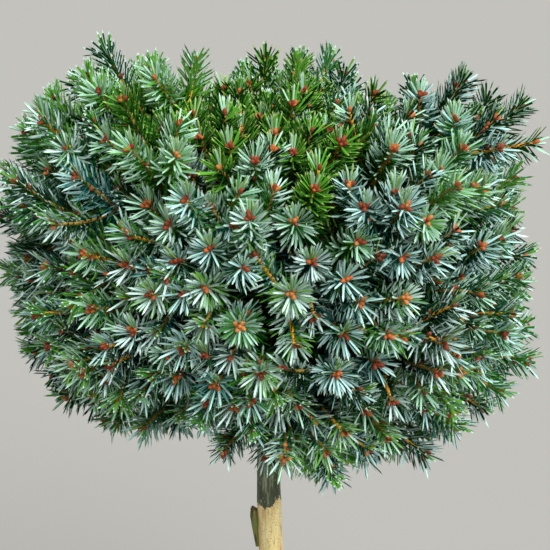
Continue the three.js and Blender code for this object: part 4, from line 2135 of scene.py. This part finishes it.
@dataclass(frozen=True)
class PotSizes:
    """The sizes of the clay pot and the soil in it, in millimetres and degrees."""

    height: float = 200
    foot_radius: float = 76
    rim_radius: float = 112
    rim_height: float = 38
    rim_stand: float = 6
    rim_bulge: float = 1.5
    edge: float = 2
    wall: float = 7.5
    floor: float = 10
    hole_radius: float = 6
    hole_ring: float = 42
    holes: int = 4
    soil_depth: float = 22
    soil_flat: float = 26
    soil_hollow: float = 2.5
    sides: int = 128
    sharp_angle: float = 42

    def inner_radius(self, z: float) -> float:
        """How far the inner wall is from the pot's axis, at a height."""
        share = (z - self.floor) / (self.height - self.edge - self.floor)
        return mix(self.foot_radius - self.wall, self.rim_radius - self.wall - self.edge, share)

    def soil_top(self) -> float:
        """How high the soil stands."""
        return self.height - self.soil_depth

    def profile(self) -> Vec:
        """The pot's outline, from the middle of its underside to the middle of its floor.

        Returns:
            The radius and the height of each of its points.
        """
        rim_foot = self.height - self.rim_height
        lip = self.rim_radius + self.rim_bulge
        below_top = self.height - self.edge
        return np.array(
            [
                (0, 0),
                (self.foot_radius - self.edge, 0),
                (self.foot_radius, self.edge),
                (self.rim_radius - self.rim_stand, rim_foot - self.edge),
                (self.rim_radius - self.edge, rim_foot),
                (self.rim_radius, rim_foot + self.edge),
                (lip, below_top),
                (lip - self.edge, self.height),
                (self.rim_radius - self.wall, self.height),
                (self.inner_radius(below_top), below_top),
                (self.inner_radius(self.floor), self.floor),
                (0, self.floor),
            ]
        )


def rounded(profile: Vec, radius: float, steps: int) -> Vec:
    """An outline with its inner corners rounded off.

    Args:
        profile: its points, one a row.
        radius: how far from a corner its curve starts, at the most.
        steps: how many points each curve has.

    Returns:
        The new outline.
    """
    points = [profile[0]]
    shares = np.linspace(0, 1, steps)
    for before, corner, after in zip(profile, profile[1:], profile[2:]):
        back, ahead = before - corner, after - corner
        reach = min(radius, np.linalg.norm(back) / 2, np.linalg.norm(ahead) / 2)
        controls = np.array([corner + unit(back) * reach, corner, corner + unit(ahead) * reach])
        points.extend(along(controls, shares))
    return np.array([*points, profile[-1]])


def lathe(parts: MeshParts, profile: Vec, sides: int, lifts: Vec | float = 0) -> None:
    """Adds a closed form turned from an outline that starts and ends on its axis.

    Args:
        parts: what it is added to.
        profile: the radius and the height of each of its points.
        sides: how many sides it has.
        lifts: how far each point between the ends is raised, a row of sides for each.
    """
    turn = ring_turns(sides)
    rings = profile[1:-1]
    x = rings[:, :1] * np.cos(turn)
    y = rings[:, :1] * np.sin(turn)
    z = np.repeat(rings[:, 1:], sides, axis=1) + lifts
    ends = np.array([(0, 0, profile[0, 1]), (0, 0, profile[-1, 1])])
    add_rings(parts, np.stack([x, y, z], axis=-1).reshape(-1, 3), sides, ends)


@dataclass
class Pot:
    """A plain clay pot with a rim, and with holes drilled through its floor."""

    sizes: PotSizes
    soften: float = 2.6
    corner_steps: int = 6
    hole_sides: int = 32

    def build(self) -> None:
        """Builds and dresses the pot."""
        s = self.sizes
        parts = MeshParts()
        lathe(parts, rounded(s.profile(), self.soften, self.corner_steps), s.sides)
        pot = parts.build("clay_pot", [FIRED_CLAY.material()], smooth=True)
        self._drill(pot)
        pot.data.set_sharp_from_angle(angle=math.radians(s.sharp_angle))
        seat(pot, "clay", "pot")

    def _drill(self, pot: bpy.types.Object) -> None:
        """Drills the drainage holes through the pot's floor.

        Args:
            pot: the pot, which gets a new mesh.
        """
        s = self.sizes
        drills = MeshParts()
        for i in range(s.holes):
            at = around(AHEAD, ASIDE, (i + 0.5) * FULL_TURN / s.holes) * s.hole_ring
            ends = np.array([at - UP * s.floor, at + UP * s.floor * 2])
            add_tube(drills, ends, np.full(2, s.hole_radius), self.hole_sides)
        cutter = drills.build("drill", [], smooth=True)
        modifier = pot.modifiers.new("drainage", "BOOLEAN")
        modifier.object = cutter
        modifier.solver = "EXACT"
        bpy.context.view_layer.update()
        drilled = pot.evaluated_get(bpy.context.evaluated_depsgraph_get())
        mesh = bpy.data.meshes.new_from_object(drilled)
        pot.modifiers.clear()
        pot.data = mesh
        bpy.data.objects.remove(cutter)


@dataclass(frozen=True)
class Chips:
    """Chips of bark and grit that lie on the soil, in millimetres, shares and radians.

    Half sizes are along, across and upwards, and pairs are the ends of ranges. The chips lie
    between a share of the soil's flat middle and a margin from the pot's wall.
    """

    count: int = 420
    seed: int = 11
    half_sizes: tuple[tuple[float, float], ...] = ((1.6, 5.2), (1.1, 2.4), (0.4, 1.0))
    trim: tuple[float, float] = (0.72, 1.0)
    near: float = 0.75
    margin: float = 1.5
    raised: float = 0.6
    pitch: float = 0.12
    roll: float = 0.1
    shares: tuple[float, ...] = (0.42, 0.22, 0.28, 0.08)


CUBE_CORNERS = np.array([(x, y, z) for z in (-1, 1) for y in (-1, 1) for x in (-1, 1)])
CUBE_FACES = np.array(
    [(0, 2, 3, 1), (4, 5, 7, 6), (0, 1, 5, 4), (1, 3, 7, 5), (3, 2, 6, 7), (2, 0, 4, 6)]
)


@dataclass
class Soil:
    """The soil in the pot: level, a little hollow, crumbly, and strewn with chips.

    The hollow starts at a share of the soil's flat middle. Crumbs are in millimetres.
    """

    sizes: PotSizes
    chips: Chips = Chips()
    rings: int = 44
    middle: float = 2.0
    relief: float = 1.5
    hollow_from: float = 0.6
    crumb: float = 9.0
    fine_crumb: float = 3.2
    fine_share: float = 0.5

    def build(self) -> None:
        """Builds and dresses the soil and the chips on it."""
        self._fill()
        self._strew()

    def _height(self, x: float, y: float) -> float:
        """How high the soil's surface is, at a place.

        Args:
            x: how far along +X the place is.
            y: how far along +Y it is.

        Returns:
            The height, in millimetres.
        """
        s = self.sizes
        edge = s.inner_radius(s.soil_top())
        away = math.hypot(x, y)
        start = s.soil_flat * self.hollow_from
        share = min(1.0, max(0.0, (away - start) / (edge - start)))
        hollow = s.soil_hollow * math.sin(share * math.pi)
        at = Vector((x, y, 0))
        fine = self.fine_share * noise.noise(at / self.fine_crumb)
        rough = noise.noise(at / self.crumb) + fine
        return s.soil_top() - hollow + self.relief * rough * min(1.0, away / s.soil_flat)

    def _fill(self) -> None:
        """Builds and dresses the soil itself."""
        s = self.sizes
        base = s.floor + GAP
        top = s.soil_top()
        radii = np.linspace(s.inner_radius(top) - 2 * GAP, self.middle, self.rings)
        low = (s.inner_radius(base) - 2 * GAP, base)
        profile = np.array([(0, base), low, *((radius, top) for radius in radii), (0, top)])
        turn = ring_turns(s.sides)
        lifts = np.zeros((len(profile) - 2, s.sides))
        for i, r in enumerate(radii):
            lifts[i + 1] = [self._height(r * math.cos(a), r * math.sin(a)) - top for a in turn]
        parts = MeshParts()
        lathe(parts, profile, s.sides, lifts)
        piece = parts.build("soil_fill", [EARTH.material()], smooth=True)
        piece.data.set_sharp_from_angle(angle=math.radians(s.sharp_angle))
        seat(piece, "potting_soil", "soil")

    def _strew(self) -> None:
        """Scatters the chips over the soil, as one piece."""
        s, c = self.sizes, self.chips
        rng = np.random.default_rng(c.seed)
        edge = s.inner_radius(s.soil_top())
        parts = MeshParts()
        for _ in range(c.count):
            half = np.array([rng.uniform(*ends) for ends in c.half_sizes])
            far = edge - half[0] - c.margin
            away = mix(s.soil_flat * c.near, far, math.sqrt(rng.random()))
            place = around(AHEAD, ASIDE, rng.uniform(0, FULL_TURN)) * away
            place[2] = self._height(place[0], place[1]) + half[2] * c.raised
            yaw = rng.uniform(0, FULL_TURN)
            ahead = unit(around(AHEAD, ASIDE, yaw) + UP * rng.normal(0, c.pitch))
            aside = unit(np.cross(UP + AHEAD * rng.normal(0, c.roll), ahead))
            box = CUBE_CORNERS * half * rng.uniform(*c.trim, CUBE_CORNERS.shape)
            points = place + box @ np.stack([ahead, aside, np.cross(ahead, aside)])
            parts.add(points, CUBE_FACES, int(rng.choice(len(c.shares), p=c.shares)))
        materials = [finish.material() for finish in CHIP_FINISHES]
        seat(parts.build("soil_chips", materials, smooth=False), "potting_soil")


@dataclass(frozen=True)
class Studio:
    """A plain pale floor, soft light and the camera, in metres, degrees and pixels."""

    frame_pixels: float = 550
    centre_pixel: tuple[float, float] = (269, 268)
    elevation: float = 25
    distance: float = 0.96
    lens: float = 100
    sensor: float = 36
    floor_half: float = 40
    sky: tuple[float, float, float] = (0.97, 0.98, 0.98)
    view_transform: str = "Standard"
    sky_strength: float = 0.5
    key_azimuth: float = 311
    key_elevation: float = 53
    key_strength: float = 5.5
    key_softness: float = 46

    def build(self, aim: Vec) -> None:
        """Sets up the stage.

        Args:
            aim: the middle of the head, in metres.
        """
        self._camera(aim)
        self._floor()
        self._lights()

    def _camera(self, aim: Vec) -> None:
        """Places the camera so that the head's middle falls on its pixel.

        Args:
            aim: the middle of the head, in metres.
        """
        data = bpy.data.cameras.new("camera")
        data.lens = self.lens
        data.sensor_width = self.sensor
        camera = new_object("camera", data)
        e = math.radians(self.elevation)
        back = Vector((0, -math.cos(e), math.sin(e)))
        up = Vector((0, math.sin(e), math.cos(e)))
        pixel = self.sensor / self.lens * self.distance / self.frame_pixels
        right_of = (self.frame_pixels / 2 - self.centre_pixel[0]) * pixel
        above = (self.centre_pixel[1] - self.frame_pixels / 2) * pixel
        target = Vector(aim) + Vector((right_of, 0, 0)) + up * above
        camera.location = target + back * self.distance
        camera.rotation_euler = pointed(-back)
        bpy.context.scene.camera = camera

    def _floor(self) -> None:
        """Lays the floor."""
        half = self.floor_half / MM
        corners = np.array([(-half, -half, 0), (half, -half, 0), (half, half, 0), (-half, half, 0)])
        parts = MeshParts()
        parts.add(corners, np.array([[0, 1, 2, 3]]))
        floor = parts.build("floor", [FLOOR_FINISH.material()], smooth=False)

    def _lights(self) -> None:
        """Hangs one large soft light and a pale sky."""
        world = bpy.data.worlds.new("sky")
        world.use_nodes = True
        background = world.node_tree.nodes["Background"]
        background.inputs["Color"].default_value = (*self.sky, 1)
        background.inputs["Strength"].default_value = self.sky_strength
        bpy.context.scene.world = world
        bpy.context.scene.view_settings.view_transform = self.view_transform
        data = bpy.data.lights.new("key", "SUN")
        data.energy = self.key_strength
        data.angle = math.radians(self.key_softness)
        light = new_object("key", data)
        light.rotation_euler = pointed(-Vector(towards(self.key_azimuth, self.key_elevation)))


def main() -> None:
    """Builds the plant, its pot and the stage."""
    logging.basicConfig(level=logging.INFO, format="%(message)s")
    stem = TrunkSizes()
    pot = PotSizes()
    growth = Growth(HeadSizes(), BoughSizes(), stem.top_height)
    log.info("main shoots: %d", sum(len(m.shoots) for m in growth.masses))
    Studio().build(aim=growth.centre * MM)
    Pot(pot).build()
    Soil(pot).build()
    Stem(stem).build()
    GraftStub(stem.union_height).build()
    Boughs(growth).build()
    Crown(growth).build()


if __name__ == "__main__":
    main()
